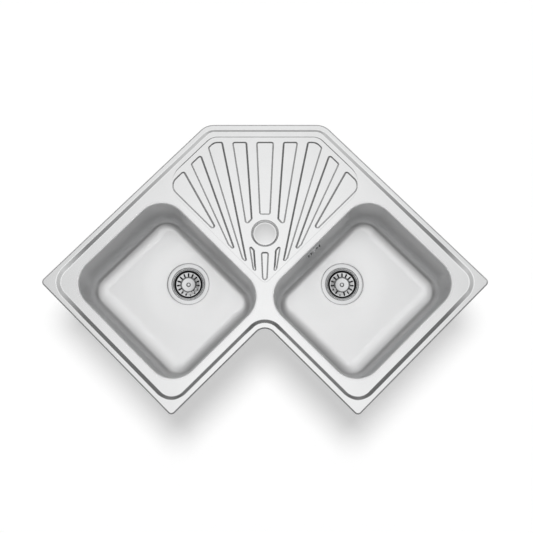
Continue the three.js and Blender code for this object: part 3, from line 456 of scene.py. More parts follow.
def pressing(skin, outline, start, width, fillet, above, drop, guard=0.9, soft=1):
    """The contours of one pressing. above gives the height of what it is pressed into, guard is
    the flat margin on both sides, and soft the share of the steepness that is shaded."""
    width, drop = (np.broadcast_to(v, len(outline.points)) for v in (width, drop))
    parts = [fillet * k / 3 for k in range(4)]
    parts = [0] + parts + [0.5] + [1 - t for t in parts[::-1]] + [1]
    loops = []
    for number, t in enumerate(parts):
        margin = guard * ((number == len(parts) - 1) - (number == 0))
        part, slope = smooth_drop(t, fillet)
        distance = (start + width * t + margin)[:, None]
        z = above(outline.points - outline.outward * distance, part)
        loops.append(skin.loop(outline, distance, z, soft * drop * slope / width))
    return loops


def step_shape(step):
    """The step's start, width and shaded share at each point of its outline: narrow at the back,
    and gentle along the arms' fronts and round the tips by the walls."""
    facing = step.outward @ TO_CORNER
    at_back = np.clip((facing - 0.75) / 0.2, 0, 1)
    sideways = np.clip(1 - abs(abs(facing) - 0.7) / 0.2, 0, 1)
    low = np.clip(1 - rise(step.points) / 1.2, 0, 1)
    aside = abs(step.points @ ACROSS_FAN)
    tip = np.clip((aside - 470) / 80, 0, 1)
    front = np.clip(-facing - 0.5, 0, 0.2) * 5 * np.clip((235 - aside) / 30, 0, 1)
    front = front * np.clip((aside - 20) / 30, 0, 1)
    start = STEP_START - sideways * np.where(facing < 0, 1.6, 1.4) + 2 * front
    width = STEP_WIDTH + 1.8 - 4.3 * at_back + 1.8 * sideways * low + 3 * tip - 2.2 * front
    return start, width, 1 - 0.35 * tip - 0.42 * front


def channel_pressing(skin, channel):
    """The walls nearer to the middle line, and at the back, are wider and so darker."""
    middle = channel.points.mean(0) @ ACROSS_FAN
    nearer = np.clip(-np.sign(middle) * (channel.outward @ ACROSS_FAN), 0, 1)
    nearer = nearer * (abs(middle) > 10)
    nearer = np.maximum(nearer, 0.9 * (channel.outward @ TO_CORNER > 0.8))
    return pressing(skin, channel, -2.2 - 0.5 * nearer, 4.4 + 1.4 * nearer, 0.32,
                    lambda p, part: panel_level(p) - CHANNEL_FALL * part, CHANNEL_FALL, 0.6)


def seat_floor(skin, tap):
    """Points of the tap seat's domed floor, which falls a little towards the room's corner."""
    lean = TO_CORNER * SEAT_LEAN
    middle = panel_level(tap[None, :])[0] - TAP_SEAT_DEPTH + SEAT_DOME
    points = []
    for radius in (28.5, 26, 22, 17, 12, 7, 3):
        slope = 2 * SEAT_DOME * radius / SEAT_DOME_RADIUS ** 2
        ring = circle(radius, 60)
        leaning = lean if radius < 27 else lean * 0.6
        z = middle - SEAT_DOME * (radius / SEAT_DOME_RADIUS) ** 2 - ring.points @ leaning
        points += skin.add(raised(ring.points + tap, z),
                           unit_rows(raised(ring.outward * slope + leaning, 1)))
    return points + skin.add([[*tap, middle]], unit_rows(np.array([[*lean, 1.0]])))


def flat_points(skin, outer, pressings, holes):
    """A grid on the flat parts, for an even mesh."""
    xs = np.arange(0, ARM_LENGTH, 14.0)
    grid = np.array([(x, -y) for x in xs for y in xs])
    clear = 3.0
    z = np.full(len(grid), float(RIM_HEIGHT))
    use = inside(grid, outer.at(EDGE_ROUND + clear))
    for outline, start, end, drop in pressings:
        within = inside(grid, outline.at(end + clear))
        use &= within | ~inside(grid, outline.at(start - clear))
        z -= within * (drop(grid) if callable(drop) else drop)
    for outline, distance in holes:
        use &= ~inside(grid, outline.at(distance - clear))
    return skin.add(raised(grid[use], z[use]), [[0, 0, 1]] * int(use.sum()))


def pressed_top():
    skin = Skin()
    rim = rim_outline()
    # the turned-down edge
    previous = skin.loop(rim, 0, RIM_EDGE_CLEARANCE, None)
    for distance, depth, tilt in EDGE:
        slope = -math.tan(math.radians(tilt)) if distance else None
        now = skin.loop(rim, distance, RIM_HEIGHT - depth, slope)
        skin.band(previous, now)
        previous = now
    loops = [previous]
    skin.edge_faces = EDGE_BANDS * len(rim.points)

    step, panel, channels = step_outline(), panel_outline(), channel_outlines()
    start, width, soft = step_shape(step)
    loops += pressing(skin, step, start, width, 0.22,
                      lambda p, part: RIM_HEIGHT * (1 - part) + (TOP + rise(p)) * part,
                      STEP_DROP - rise(step.points), soft=soft)
    loops += pressing(skin, panel, 0, PANEL_SLOPE_WIDTH, 0.36,
                      lambda p, part: TOP + rise(p) - panel_depth(p) * part,
                      panel_depth(panel.points))
    for channel in channels:
        loops += channel_pressing(skin, channel)
    tap = vec(TAP_SEAT_FROM_EDGES, -TAP_SEAT_FROM_EDGES)
    seat = circle(TAP_SEAT_RADIUS, 120).moved(*tap)
    loops += pressing(skin, seat, -0.7, TAP_SEAT_RADIUS - TAP_SEAT_FLOOR_RADIUS + 1.5, 0.26,
                      lambda p, part: panel_level(p) - TAP_SEAT_DEPTH * part, TAP_SEAT_DEPTH)
    extra = seat_floor(skin, tap)
    bowls = [bowl_outline().moved(BOWL_ALONG, -BOWL_ACROSS)]
    bowls.append(bowls[0].mirrored())
    openings = [bowl.at(-FLANGE_OUT) for bowl in bowls]
    for bowl, opening in zip(bowls, openings):
        loops.append(skin.loop(bowl, -FLANGE_OUT, TOP + rise(opening), 0))
    level = [(step, STEP_START - 2.4, STEP_START + STEP_WIDTH + 5.5,
              lambda p: STEP_DROP - rise(p)), (panel, 0, PANEL_SLOPE_WIDTH, panel_depth)]
    level += [(channel, -2.4, 2.4, CHANNEL_FALL) for channel in channels]
    extra += flat_points(skin, rim, level, [(seat, 0)] + [(bowl, -FLANGE_OUT) for bowl in bowls])

    def keep(middles):
        result = inside(middles, rim.at(EDGE_ROUND))
        for opening in openings:
            result &= ~inside(middles, opening)
        return result

    skin.plain(loops, extra, keep)
    return skin.build("pressed_top", Matrix())


# ---- bowls

SHOULDER = 3.4         # round shoulder between the top and the wall
WALL_TOP_INSET, WALL_TOP_DROP = 2.4, 5.1
WALL_TILT = math.atan((BOWL_DRAFT - WALL_TOP_INSET)
                      / (TOP - WALL_TOP_DROP - FLOOR - BOWL_FLOOR_RADIUS))
OVERFLOW_HEIGHT = TOP - OVERFLOW_DROP
OPENING_WIDTH, OPENING_HEIGHT = 46, 14
OPENING_TOP = OVERFLOW_HEIGHT + OPENING_HEIGHT / 2
OPENING_FOOT = OVERFLOW_HEIGHT - OPENING_HEIGHT / 2
FLOOR_FILLET, FLOOR_TILT = 24.0, math.radians(17)
FLOOR_EASE = 28.0      # the fillet eases into the floor over this width
FLOOR_EDGE = FLOOR + 1.17               # the floor falls to the waste
FROM_TIP, TO_DRAINER = 13, 16           # how far the floor's edges lie off the even section's,
SECTION_WIDTH = 46                      # which ends about this far inwards
WASTE_RINGS = [(62.5, 0, 0), (58.6, 0, 0), (58.25, -0.1, 0.7), (58.05, -0.4, 2.5), (58.0, -2.0, 8),
               (57.8, -2.4, 0), (52.0, -2.4, 0), (45.5, -2.4, 0)]    # radius, height, steepness


def wall_section():
    """Points of the bowl's section from its flange to its floor: inset, height, and the normal as
    (inwards, up)."""
    rows = [(-FLANGE_OUT, TOP, 0, 1), (-1.5, TOP, 0, 1)]
    for a in np.linspace(0, math.pi / 2 - WALL_TILT, 8):
        s, c = math.sin(a), math.cos(a)
        rows.append((SHOULDER * s - 0.9, TOP - SHOULDER * (1 - c), s, c))
    top_inset, top_z = rows[-1][:2]
    heights = [-10, OPENING_TOP, OVERFLOW_HEIGHT, OPENING_FOOT, -50, -65, -80, -95, -108]
    for z in heights:
        rows.append((top_inset + (top_z - z) * math.tan(WALL_TILT), z,
                     math.cos(WALL_TILT), math.sin(WALL_TILT)))
    # a fillet, then an easing curve on to the floor
    tail = math.tan(FLOOR_TILT)
    centre = FLOOR_EDGE + tail * FLOOR_EASE / 2 + FLOOR_FILLET * math.cos(FLOOR_TILT)
    inset = top_inset + (top_z - centre) * math.tan(WALL_TILT) + FLOOR_FILLET
    for a in np.linspace(WALL_TILT, math.pi / 2 - FLOOR_TILT, 14):
        s, c = math.sin(a), math.cos(a)
        rows.append((inset - FLOOR_FILLET * c, centre - FLOOR_FILLET * s, c, s))
    x, z = rows[-1][:2]
    for t in np.linspace(0, 1, 10)[1:]:
        rows.append((x + FLOOR_EASE * t, z - (z - FLOOR_EDGE) * (2 * t - t * t),
                     tail * (1 - t), 1))
    return rows


def stretch(outline, z):
    """How much wider the section is at each point of the outline, at this height."""
    along = outline.outward[:, 0]
    shift = FROM_TIP * np.clip(along, 0, 1) - TO_DRAINER * np.clip(-along, 0, 1)
    return 1 + shift / SECTION_WIDTH * np.clip((-50 - z) / 50, 0, 1)


def inset_by(outline, distance, z):
    """The bowl's contour at this height, where an even section would be this far inwards."""
    beyond = max(0, distance - WALL_TOP_INSET)
    wide = distance - beyond + beyond * stretch(outline, z)
    return outline.points - outline.outward * wide[:, None]


def passes_opening(outline):
    """Which of the outline's segments pass the overflow's opening."""
    x, y = outline.points.T
    on_side = np.maximum(x, np.roll(x, -1)) < -BOWL_LENGTH / 2 + 1e-6
    middle = (y + np.roll(y, -1)) / 2
    return set(np.flatnonzero(on_side & (abs(middle - OVERFLOW_SHIFT) < OPENING_WIDTH / 2)))


def bowl_walls(skin, outline, place, opening):
    """The wall and the fillet; returns the last contour, on the floor."""
    previous = None
    for distance, z, inwards, up in wall_section():
        size = math.hypot(inwards, up)
        flat = inset_by(outline, distance, z)
        inwards = inwards / size / stretch(outline, z)
        normals = unit_rows(raised(-outline.outward * inwards[:, None], up / size))
        plan = turned_by(place, raised(flat, 0)) + np.array(place.translation)
        lift = rise(plan[:, :2]) * max(0, 1 - (TOP - z) / 20)
        now = skin.add(raised(flat, z + lift), normals)
        if previous:
            beside = previous_z <= OPENING_TOP + 1e-6 and z >= OPENING_FOOT - 1e-6
            skin.band(previous, now, opening if beside else ())
        previous, previous_z = now, z
    return previous


def bowl_skin(name, place, with_overflow):
    # on the drainer's side the outline runs from +y to -y
    marks = {3: [-(OVERFLOW_SHIFT + OPENING_WIDTH / 2), -(OVERFLOW_SHIFT - OPENING_WIDTH / 2)]}
    outline = bowl_outline(marks)
    skin = Skin()
    loops = [bowl_walls(skin, outline, place, passes_opening(outline) if with_overflow else ())]
    foot = wall_section()[-1][0]
    drain = vec(-WASTE_SHIFT, 0)

    def floor_height(points):
        """Falls gently and evenly to the waste."""
        away = np.linalg.norm(points - drain, axis=1)
        return FLOOR + (FLOOR_EDGE - FLOOR) * ease((away - 60) / 60)

    for radius, z, slope in WASTE_RINGS:
        loops.append(skin.loop(circle(radius, 120).moved(*drain), 0, FLOOR + z, slope))
    hole = circle(WASTE_RINGS[-1][0], 120).moved(*drain).points
    extra = []
    for radius in (68, 76, 86, 98, 112, 128):
        ring = circle(radius, 72).moved(*drain)
        ok = inside(ring.points, inset_by(outline, foot + 4, FLOOR))
        points = ring.points[ok]
        near, far = (floor_height(drain + (points - drain) * (1 + step / radius))
                     for step in (-0.5, 0.5))
        normals = unit_rows(raised(-ring.outward[ok] * (far - near)[:, None], 1))
        extra += skin.add(raised(points, floor_height(points)), normals)
    grid = np.array([(x, y) for x in np.arange(-BOWL_LENGTH / 2, BOWL_LENGTH / 2, 15)
                     for y in np.arange(-BOWL_WIDTH / 2, BOWL_WIDTH / 2, 15)])
    ok = inside(grid, inset_by(outline, foot + 5, FLOOR))
    ok &= np.linalg.norm(grid - drain, axis=1) > 136
    extra += skin.add(raised(grid[ok], floor_height(grid[ok])), [[0, 0, 1]] * int(ok.sum()))
    floor_edge = inset_by(outline, foot, FLOOR)
    skin.plain(loops, extra, lambda m: inside(m, floor_edge) & ~inside(m, hole))
    return skin.build(name, place)


# ---- turned pieces


def turned(name, profile, place, steps):
    """A turned body about Z; profile is a closed list of (radius, height) in millimetres."""
    bm = bmesh.new()
    columns = [[bm.verts.new((r * x, r * y, z)) for r, z in profile]
               for x, y in circle(1, steps).points]
    for here, there in zip(columns, columns[1:] + columns[:1]):
        for i in range(len(profile)):
            j = (i + 1) % len(profile)
            bm.faces.new((here[i], here[j], there[j], there[i]))
    bmesh.ops.remove_doubles(bm, verts=bm.verts, dist=1e-4)
    bmesh.ops.recalc_face_normals(bm, faces=bm.faces)
    obj = from_bmesh(name, bm, place)
    shade(obj)
    return obj


def to_frame(place):
    """From millimetres in a place's frame to the scene's metres."""
    return Matrix.Translation((-ORIGIN * MM, ORIGIN * MM, 0)) @ Matrix.Scale(MM, 4) @ place


def from_bmesh(name, bm, place):
    mesh = bpy.data.meshes.new(name)
    bm.to_mesh(mesh)
    bm.free()
    mesh.transform(to_frame(place))
    return new_object(name, mesh)


def apply_modifiers(obj):
    bpy.context.view_layer.update()
    evaluated = obj.evaluated_get(bpy.context.evaluated_depsgraph_get())
    mesh = bpy.data.meshes.new_from_object(evaluated)
    obj.modifiers.clear()
    old, obj.data = obj.data, mesh
    bpy.data.meshes.remove(old)


def bevelled(obj, width):
    bevel = obj.modifiers.new("bevel", "BEVEL")
    bevel.width, bevel.segments = width * MM, 2
    bevel.limit_method, bevel.angle_limit = "ANGLE", math.radians(40)
    bevel.use_clamp_overlap = True
    apply_modifiers(obj)
    shade(obj, 40)


def give(obj, *materials):
    if obj.data.materials:      # clearing them also clears each face's choice
        obj.data.materials.clear()
    for material in materials:
        obj.data.materials.append(material)


def shade(obj, degrees=30):
    """Smooth faces, with edges sharper than this left crisp."""
    bm = bmesh.new()
    bm.from_mesh(obj.data)
    for face in bm.faces:
        face.smooth = True
    for edge in bm.edges:
        edge.smooth = len(edge.link_faces) == 2 and edge.calc_face_angle(0) < math.radians(degrees)
    bm.to_mesh(obj.data)
    bm.free()


def combined(obj, other, operation="DIFFERENCE"):
    boolean = obj.modifiers.new("shape", "BOOLEAN")
    boolean.operation, boolean.object, boolean.solver = operation, other, "EXACT"
    apply_modifiers(obj)
    bpy.data.objects.remove(other)


def slab(name, outline, low, high, place):
    bm = bmesh.new()
    bottom, top = ([bm.verts.new((x, y, z)) for x, y in outline] for z in (low, high))
    bm.faces.new(bottom[::-1])
    bm.faces.new(top)
    for i in range(len(top)):
        j = (i + 1) % len(top)
        bm.faces.new((bottom[i], bottom[j], top[j], top[i]))
    return from_bmesh(name, bm, place)


def arc_points(cx, cz, radius, start, end, steps=6):
    return [(cx + radius * math.cos(math.radians(a)), cz + radius * math.sin(math.radians(a)))
            for a in np.linspace(start, end, steps)]


# ---- basket wastes

MOUTH_RADIUS, MOUTH_FLOOR = 40, FLOOR - 18
CUP_RADIUS, CUP_FLOOR = 33, FLOOR - 34
FLANGE_RADIUS, FLANGE_TOP = 57.7, FLOOR - 0.1
DISC = FLOOR - 12                  # level of the basket's disc
SLOTS = 15
BASKET_TURN = {"right": 15, "left": 9}


def shaded(obj, chosen, place):
    """Chooses for each face the polished steel, the dark one that paints shade or the bright one
    that paints a highlight, from its radius, height and upward facing.
    """
    give(obj, POLISHED, SHADE_STEEL, CHROME_AND_HIGHLIGHT)
    back = to_frame(place).inverted()
    for face in obj.data.polygons:
        x, y, z = back @ face.center
        face.material_index = int(chosen(math.hypot(x, y), z, face.normal.z))


def strainer_dish(name, place):
    r = MOUTH_RADIUS
    profile = [(3.3, CUP_FLOOR)]
    profile += arc_points(CUP_RADIUS - 3, CUP_FLOOR + 3, 3, -90, 0)
    profile += arc_points(CUP_RADIUS + 1, MOUTH_FLOOR - 1, 1, 180, 90, 4)
    profile += arc_points(r - 1.5, MOUTH_FLOOR + 1.5, 1.5, -90, 0, 5)
    # the mouth: a wall, a ledge round the basket's rim, a short wall and the flange
    profile += [(r + out, FLOOR - down) for out, down in (
        (0, 12), (0, 8), (0.3, 7), (1, 6.2), (1.4, 5), (1.5, 4), (1.8, 3.3), (2.3, 3.0),
        (3.1, 2.85), (3.8, 2.75), (4.1, 2.5), (4.3, 2), (4.45, 1.3), (4.75, 0.7), (5.3, 0.32),
        (6, 0.15), (9.0, 0.1), (13.2, 0.1), (17.2, 0.1))]
    profile += arc_points(FLANGE_RADIUS - 0.5, FLANGE_TOP - 0.5, 0.5, 90, 0, 4)
    profile += [(FLANGE_RADIUS, FLANGE_TOP - SHEET), (r + 5.5, FLANGE_TOP - SHEET),
                (r + 5.4, FLOOR - 3.9), (r + 2.4, FLOOR - 4.2), (r + 2.2, FLOOR - 6.6),
                (r + 0.9, FLOOR - 8), (r + 0.8, MOUTH_FLOOR - SHEET),
                (CUP_RADIUS + SHEET, MOUTH_FLOOR - SHEET), (CUP_RADIUS + SHEET, CUP_FLOOR - SHEET),
                (3.3, CUP_FLOOR - SHEET)]
    dish = turned(name, profile, place, 120)
    for i in range(6):
        drill = circle(7.9, 32).moved(22, 0).turned(math.radians(60 * i + 6))
        combined(dish, slab("drill", drill.points, CUP_FLOOR - 6, CUP_FLOOR + 4, place))
    shade(dish, 35)
    # painted shade: faces below the basket and between it and the mouth, where little light gets,
    #     # get the dark steel; painted highlight: the ledge round the basket's rim gets the bright
    #     steel
    shaded(dish, lambda r, z, up: 2 if 42.2 < r < 43.6 and z > FLOOR - 3.6
           else z < FLOOR - 9 or r < 40.6, place)
    return dish


def basket(name, place, turn):
    rim, plate, disc = FLOOR - 4.3, FLOOR - 7.6, DISC
    profile = [(3.4, disc + 0.1), (8, disc + 0.15), (13, disc + 0.4), (17.4, disc + 0.65),
               (19.0, disc + 0.8), (19.8, disc + 1.2), (20.4, disc + 2.2), (21.2, disc + 2.75),
               (22.4, disc + 3.0), (25, disc + 3.3), (28, disc + 3.7), (31.0, plate - 0.25),
               (32.6, plate - 0.1), (33.8, plate - 0.2),
               (34.6, plate - 0.7), (35.0, plate - 1.6), (35.5, plate - 2.4), (36.2, plate - 2.8),
               (37.1, plate - 2.6), (37.9, plate - 1.8), (38.4, plate - 0.6), (38.6, rim - 0.9),
               (38.9, rim - 0.35), (39.4, rim - 0.06), (40.0, rim), (40.6, rim - 0.08),
               (41.0, rim - 0.4), (41.1, rim - 0.9), (39.4, rim - 1.3), (39.1, rim - 2.4),
               (39.1, plate - 2), (38.7, plate - 3), (37.5, plate - 3.7), (36.2, plate - 3.9),
               (36.2, disc - 1.4), (35.3, disc - 1.4), (35.3, plate - 3.8), (33.6, plate - 3.2),
               (32.4, plate - 1.2), (21.6, disc + 2.0), (19.9, disc + 0.9), (18.4, disc),
               (13, disc - 0.4), (3.4, disc - 0.7)]
    obj = turned(name, profile, place, 120)
    shape = oblong(11.1, 4.3, 1.5, 3, 0.5).moved(26.45, 0)
    for i in range(SLOTS):
        slot = shape.turned(math.radians(360 / SLOTS * i + turn)).points
        combined(obj, slab("slot", slot, disc - 4, plate + 3, place))
    shade(obj, 35)
    # painted shade: the groove round the rim, the underside, faces turned down and the slots' walls
    # get the dark steel
    shaded(obj, lambda r, z, up: 34.2 < r < 38.6 or z < disc - 1 or up < -0.3
           or (abs(up) < 0.3 and 20.5 < r < 32.4), place)
    return obj


def knob(name, place):
    low, high, clench = DISC + 0.3, DISC + 3.4, DISC - 1.1
    profile = [(0, high), (2.2, high - 0.02), (3.4, high - 0.1), (4.3, high - 0.3),
               (5.0, high - 0.7), (5.6, high - 1.3), (6.0, high - 2.1), (6.2, low + 0.5),
               (6.3, low + 0.12), (3.1, low + 0.12), (3.1, clench), (5.1, clench),
               (5.1, clench - 1.5), (0, clench - 1.5)]
    return turned(name, profile, place, 64)


# ---- overflow

PLATE_LEAN = math.radians(14)      # the plate stands off the wall at its lower edge
UPRIGHT = Matrix(((0, 0, 1, 0), (1, 0, 0, 0), (0, 1, 0, 0), (0, 0, 0, 1)))  # x across, y up, z out
OVERFLOW = (Matrix.Translation((
    -BOWL_LENGTH / 2 + WALL_TOP_INSET + (TOP - WALL_TOP_DROP - OVERFLOW_HEIGHT)
    * math.tan(WALL_TILT), OVERFLOW_SHIFT, OVERFLOW_HEIGHT))
    @ Matrix.Rotation(-WALL_TILT, 4, "Y") @ UPRIGHT)
SCREW_FACE, SCREW_TURNS, SCREW_PITCH = 5.2, 18, 1.1


def overflow_plate(place):
    """A plate with four slots and a raised bar that carries the screw."""
    leaning = (place @ Matrix.Translation((0, 9, 1.1))
               @ Matrix.Rotation(-PLATE_LEAN, 4, "X"))
    plate = slab("overflow_face", oblong(52, 18, 8).points, 0.3, 9, place)
    room = slab("room", oblong(50.4, 16.4, 7.2).points, -1, 9 - SHEET, place)
    for obj, gap in ((plate, 0), (room, SHEET)):
        combined(obj, slab("above", oblong(80, 60, 5).points, -gap, 30, leaning))
    combined(plate, room)
    combined(plate, slab("bar", oblong(11, 15, 2).moved(0, -9).points, -1, 1.4, leaning), "UNION")
    for x in (-20, -11, 11, 20):
        slot = oblong(4.2, 13.5, 2).moved(x, -9)
        combined(plate, slab("slot", slot.points, -6, 3, leaning))
    combined(plate, slab("hole", circle(2.3, 24).points, -1, 9, place))
    bevelled(plate, 0.22)
    give(plate, CHROME_AND_HIGHLIGHT)
    return plate


def overflow_screw(place):
    """A low domed head with a cross recess, and a shank ringed like a thread."""
    face = SCREW_FACE
    profile = [(0, face + 1.35), (1.8, face + 1.3), (2.8, face + 1.05), (3.5, face + 0.6),
               (3.9, face), (2.0, face)]
    for k in range(SCREW_TURNS):
        z = face - 2 - k * SCREW_PITCH
        profile += [(2.0, z), (1.65, z - 0.5)]
    z = face - 2 - SCREW_TURNS * SCREW_PITCH
    profile += [(2.0, z), (0, z - 1.4)]
    screw = turned("overflow_screw_head", profile, place, 32)
    for angle in (0.4, 0.4 + math.pi / 2):
        bar = oblong(3.4, 0.7, 0.2).turned(angle).points
        combined(screw, slab("recess", bar, face + 0.5, face + 3, place))
    shade(screw)
    give(screw, CHROME_AND_HIGHLIGHT)
    return screw


def overflow_gasket(place):
    """The rubber behind the wall, with a lip that lines the opening."""
    ring = slab("overflow_ring", oblong(58, 26, 6).points, -3.1, -1.1, place)
    combined(ring, slab("lip", oblong(44.8, 12.8, 4.6).points, -3.0, -0.1, place), "UNION")
    combined(ring, slab("hole", oblong(40, 7.6, 3).points, -5, 2, place))
    bevelled(ring, 0.3)
    return ring


# ---- materials

EVEN = (0, (1, 1, 1))              # a grain's turn and its stretch
BRUSHED = (math.radians(45), (1, 0.12, 1))
DRAWN = (0, (1, 1, 0.2))


def node_material(name):
    material = bpy.data.materials.new(name)
    material.use_nodes = True
    tree = material.node_tree
    return material, tree, tree.nodes["Principled BSDF"]


def add_node(tree, kind, **values):
    node = tree.nodes.new(kind)
    for key, value in values.items():
        if key in node.inputs:
            node.inputs[key].default_value = value
        else:
            setattr(node, key, value)
    return node


def math_node(tree, operation, a, b=None):
    node = add_node(tree, "ShaderNodeMath", operation=operation)
    for socket, value in zip(node.inputs, (a, b)):
        if isinstance(value, (int, float)):
            socket.default_value = value
        elif value is not None:
            tree.links.new(value, socket)
    return node.outputs[0]


def grain(tree, scale, stretch, detail):
    """Noise in the object's own space, stretched along one direction."""
    coordinates = add_node(tree, "ShaderNodeTexCoord")
    mapping = add_node(tree, "ShaderNodeMapping", Scale=stretch[1])
    mapping.inputs["Rotation"].default_value = (0, 0, stretch[0])
    noise = add_node(tree, "ShaderNodeTexNoise", Scale=scale, Detail=detail, Roughness=0.55)
    tree.links.new(coordinates.outputs["Object"], mapping.inputs["Vector"])
    tree.links.new(mapping.outputs["Vector"], noise.inputs["Vector"])
    return noise.outputs["Fac"]


def ranged(tree, value, low, high):
    node = add_node(tree, "ShaderNodeMapRange")
    for key, number in (("From Min", 0.3), ("From Max", 0.7), ("To Min", low), ("To Max", high)):
        node.inputs[key].default_value = number
    tree.links.new(value, node.inputs["Value"])
    return node.outputs["Result"]


def grained(name, dark, light, roughness, fine, broad, bump, depth, metallic=0.0):
    """The broad grain varies the colour, and the fine one the gloss and the relief."""
    material, tree, shader = node_material(name)
    shader.inputs["Metallic"].default_value = metallic
    fine, broad = grain(tree, *fine), grain(tree, *broad)
    colour = add_node(tree, "ShaderNodeMix", data_type="RGBA", A=(*dark, 1), B=(*light, 1))
    tree.links.new(ranged(tree, broad, 0, 1), colour.inputs["Factor"])
    tree.links.new(colour.outputs["Result"], shader.inputs["Base Color"])
    tree.links.new(ranged(tree, fine, *roughness), shader.inputs["Roughness"])
    relief = add_node(tree, "ShaderNodeBump", Strength=bump, Distance=depth)
    tree.links.new(fine, relief.inputs["Height"])
    tree.links.new(relief.outputs["Normal"], shader.inputs["Normal"])
    return material


def steel(name, dark, light, roughness, brush, bump, metallic=1.0):
    return grained(name, dark, light, roughness, (900, brush, 3), (14, EVEN, 3), bump, 0.00001,
                   metallic)


def plain(name, dark, light, roughness, scale, bump, depth=0.0001):
    """Moulded plastic, rubber or foam."""
    return grained(name, dark, light, roughness, (scale, EVEN, 5), (20, EVEN, 2), bump, depth)


SATIN = steel("satin_steel", (0.86, 0.863, 0.865), (0.885, 0.888, 0.89), (0.235, 0.245),
              BRUSHED, 0.008)
BOWL = steel("bowl_steel", (0.955, 0.958, 0.96), (0.975, 0.977, 0.98), (0.31, 0.36),
             DRAWN, 0.02, 0.91)
BELOW = steel("satin_steel_below", (0.52, 0.523, 0.525), (0.58, 0.583, 0.585), (0.38, 0.46),
              DRAWN, 0.05)
# painted shade: a dark copy of the satin steel for the turned-down outer edge
EDGE_SHADE_STEEL = steel("satin_steel_edge", (0.20, 0.202, 0.205), (0.24, 0.243, 0.245), (0.30, 0.38),
              EVEN, 0.05)
POLISHED = steel("polished_steel", (0.64, 0.645, 0.65), (0.70, 0.705, 0.71), (0.15, 0.22),
                 EVEN, 0.05)
# bright polished steel for the overflow's plate and screw, and the painted highlight on the dishes'
# ledges
CHROME_AND_HIGHLIGHT = steel("polished_steel_bright", (0.86, 0.865, 0.87), (0.90, 0.905, 0.91), (0.26, 0.34),
               EVEN, 0.05, 0.5)
# painted shade: a near-black copy of the polished steel, for faces under and round the baskets
SHADE_STEEL = steel("polished_steel_below", (0.07, 0.07, 0.07), (0.10, 0.10, 0.10), (0.25, 0.35),
            EVEN, 0.05)
MATERIALS = {
    "satin_steel": SATIN, "polished_steel": POLISHED,
    "zinc_steel": steel("zinc_steel", (0.50, 0.52, 0.55), (0.62, 0.63, 0.64), (0.36, 0.52),
                        EVEN, 0.25),
    "black_rubber": plain("black_rubber", (0.010, 0.010, 0.011), (0.016, 0.016, 0.017),
                          (0.6, 0.8), 700, 0.2),
    "grey_foam": plain("grey_foam", (0.055, 0.058, 0.062), (0.095, 0.10, 0.105),
                       (0.85, 0.98), 1200, 0.8, 0.0003),
    "white_plastic": plain("white_plastic", (0.76, 0.76, 0.74), (0.82, 0.82, 0.80),
                           (0.36, 0.48), 500, 0.08)}


def dressed(obj, slot, body, node):
    """Gives a new piece its material and body, and hides the node it stands for."""
    if not obj.data.materials:
        give(obj, MATERIALS[slot])
    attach(obj, body)
    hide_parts(node)


for material in frame["record"]["materials"]:
    for obj in NODES.values():
        for slot in obj.material_slots:
            if slot.material and slot.material.name.split(".")[0] == material["slot"]:
                slot.material = MATERIALS[material["slot"]]

# ---- assembly

BASINS = {
    "right": Matrix.Translation((BOWL_ALONG, -BOWL_ACROSS, 0)),
    "left": (Matrix.Translation((BOWL_ACROSS, -BOWL_ALONG, 0))
             @ Matrix.Rotation(-math.pi / 2, 4, "Z")),
}

top = pressed_top()
give(top, SATIN, EDGE_SHADE_STEEL, BELOW)
dressed(top, "satin_steel", "sink", "deck")
for side, place in BASINS.items():
    skin = bowl_skin(f"{side}_bowl_skin", place, side == "right")
    give(skin, BOWL, EDGE_SHADE_STEEL, BELOW)
    dressed(skin, "satin_steel", "sink", f"{side}_bowl")
    waste = place @ Matrix.Translation((-WASTE_SHIFT, 0, 0))
    dressed(strainer_dish(f"{side}_dish", waste), "polished_steel", "sink",
            f"{side}_strainer_dish")
    body = f"{side}_basket"
    dressed(basket(f"{side}_strainer", waste, BASKET_TURN[side]), "polished_steel", body, body)
    dressed(knob(f"{side}_knob", waste), "polished_steel", body, f"{side}_basket_knob")

opening = BASINS["right"] @ OVERFLOW
dressed(overflow_plate(opening), "polished_steel", "sink", "overflow_plate")
dressed(overflow_screw(opening), "polished_steel", "sink", "overflow_screw")
dressed(overflow_gasket(opening), "black_rubber", "sink", "overflow_gasket")

# ---- studio

STAGE_LEVEL, STAGE_SIZE = -0.2455, 40.0      # in metres
STAGE_GLOW = 0.45
# spots of the sky: degrees to both sides and to the back, their spreads, and brightness
CANOPY = (0, 8, 17, 27, 1.12)
SIDES = (45, -14, 9, 9, 0.48)
# brightness by height, from the horizon to straight up
HORIZON = [(0.0, 0.62), (0.25, 0.52), (0.42, 0.25), (0.58, 0.08), (0.75, 0.06), (1.0, 0.12)]
# from the room's corner, so that the shadow falls in front
SUN_DIRECTION, SUN_STRENGTH, SUN_SPREAD = (0.18, -0.18, -1), 2.3, math.radians(23)
# the camera fitted to the photograph
CAMERA_TURN = (-11.431637, -0.277792, -0.021613)
CAMERA_TARGET, CAMERA_DISTANCE = (4.281, -546.380, 0), 3016.459
CAMERA_LENS, CAMERA_SENSOR = 77.91, 36


def studio_floor():
    size, z = STAGE_SIZE, STAGE_LEVEL
    mesh = bpy.data.meshes.new("studio_floor")
    mesh.from_pydata([(-size, -size, z), (size, -size, z), (size, size, z), (-size, size, z)],
                     [], [(0, 1, 2, 3)])
    material, tree, shader = node_material("studio_white")
    for key, value in (("Base Color", (0.55, 0.55, 0.55, 1)), ("Roughness", 1),
                       ("Specular IOR Level", 0), ("Emission Color", (1, 1, 1, 1))):
        shader.inputs[key].default_value = value
    rays = add_node(tree, "ShaderNodeLightPath").outputs
    seen = math_node(tree, "MAXIMUM", rays["Is Glossy Ray"], rays["Is Transmission Ray"])
    seen = math_node(tree, "MAXIMUM", rays["Is Camera Ray"], seen)
    tree.links.new(math_node(tree, "MULTIPLY", seen, STAGE_GLOW),
                   shader.inputs["Emission Strength"])
    mesh.materials.append(material)
    new_object("studio_floor", mesh)


